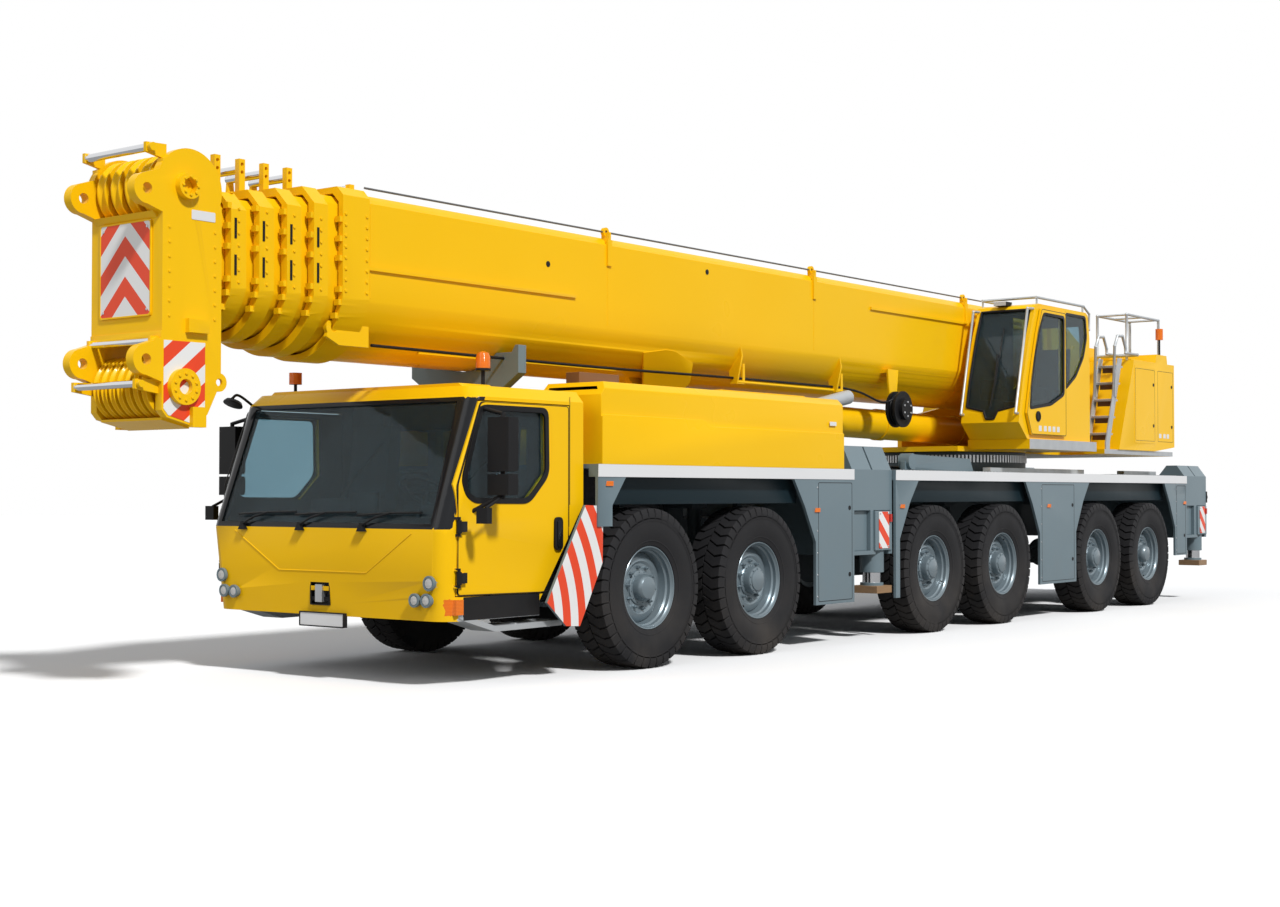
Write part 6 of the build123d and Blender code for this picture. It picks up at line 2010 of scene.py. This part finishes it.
@dataclass
class Studio:
    """Floor, light and camera."""

    # the camera's place, its turn and tip in degrees, and its lens on a film of a width in millimetres
    place: Point = (10.744, -16.492, 1.493)
    turn: float = 37.93
    tip: float = 1.285
    lens: float = 50.0
    film: float = 36.0
    sight: float = 400.0
    # half the floor's width, and its tone as light meets it and as the camera sees it
    reach: float = 90.0
    floor_tones: tuple[Colour, Colour] = ((0.40, 0.40, 0.40), (0.98, 0.98, 0.98))
    suns: tuple[Sun, ...] = (Sun("key", (3.7, -1.4, 3.8), 3.2, 6.0),
                             Sun("fill", (-1.0, -4.0, 2.2), 0.6, 40.0))
    ambient: Colour = (0.93, 0.96, 1.0)
    ambient_strength: float = 0.30

    def build(self) -> None:
        """Build the floor, the lights, the world and the camera."""
        self.camera()
        self.floor()
        self.lights()
        self.world()
        LOG.info("studio: floor, two lamps and the camera")

    def camera(self) -> None:
        """Set the camera low before the left front corner."""
        data = bpy.data.cameras.new("camera")
        data.lens = self.lens
        data.sensor_width = self.film
        data.clip_end = self.sight
        made = bpy.data.objects.new("camera", data)
        made.location = self.place
        made.rotation_euler = (math.radians(90 + self.tip), 0.0, math.radians(self.turn))
        bpy.context.scene.collection.objects.link(made)
        bpy.context.scene.camera = made

    def floor(self) -> None:
        """Lay the pale floor."""
        shape = Shape()
        edge = (-self.reach, self.reach)
        shape.face([(x, y, 0.0) for x, y in oblong(edge, edge)], BLACK)
        mesh = plain_mesh(shape)
        made = bpy.data.materials.new("pale_floor")
        made.use_nodes = True
        w = Wiring(made.node_tree)
        seen = w.add("LightPath").outputs["Is Camera Ray"]
        tone = w.mix(seen, *(rgba(tone) for tone in self.floor_tones))
        plain = w.add("BsdfDiffuse", Color=tone)
        w.add("OutputMaterial", Surface=plain.outputs[0])
        mesh.materials.append(made)
        floor = bpy.data.objects.new("floor", mesh)
        bpy.context.scene.collection.objects.link(floor)

    def lights(self) -> None:
        """Hang a soft sun over the vehicle's left and a weak fill before its front."""
        for sun in self.suns:
            lamp = bpy.data.lights.new(sun.name, "SUN")
            lamp.energy = sun.energy
            lamp.angle = math.radians(sun.angle)
            made = bpy.data.objects.new(sun.name, lamp)
            made.rotation_euler = Vector(sun.way).to_track_quat("Z", "Y").to_euler()
            bpy.context.scene.collection.objects.link(made)

    def world(self) -> None:
        """Give an even pale surround, white where the camera or a reflection sees it."""
        world = bpy.data.worlds.new("studio")
        world.use_nodes = True
        bpy.context.scene.world = world
        w = Wiring(world.node_tree)
        rays = w.add("LightPath").outputs
        straight = w.add("Math", {"operation": "MAXIMUM"}, i0=rays["Is Camera Ray"],
                         i1=rays["Is Transmission Ray"])
        seen = w.add("Math", {"operation": "MAXIMUM"}, i0=straight.outputs[0], i1=rays["Is Glossy Ray"])
        ambient = w.add("Background", Color=rgba(self.ambient), Strength=self.ambient_strength)
        white = w.add("Background", Color=(1.0, 1.0, 1.0, 1.0), Strength=1.0)
        both = w.add("MixShader", i0=seen.outputs[0], i1=ambient.outputs[0], i2=white.outputs[0])
        w.add("OutputWorld", Surface=both.outputs[0])


def main() -> None:
    """Build every sub-assembly, then the studio."""
    logging.basicConfig(level=logging.INFO, format="%(name)s: %(message)s")
    bpy.ops.wm.read_factory_settings(use_empty=True)
    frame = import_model()
    plan = Plan(frame["nodes"])
    Studio().build()
    for assembly in (Wheels(plan), Carrier(plan), CarrierCab(plan), UpperWorks(plan), Boom(plan)):
        assembly.build()
    bpy.context.scene.view_settings.view_transform = "Standard"


if __name__ == "__main__":
    main()
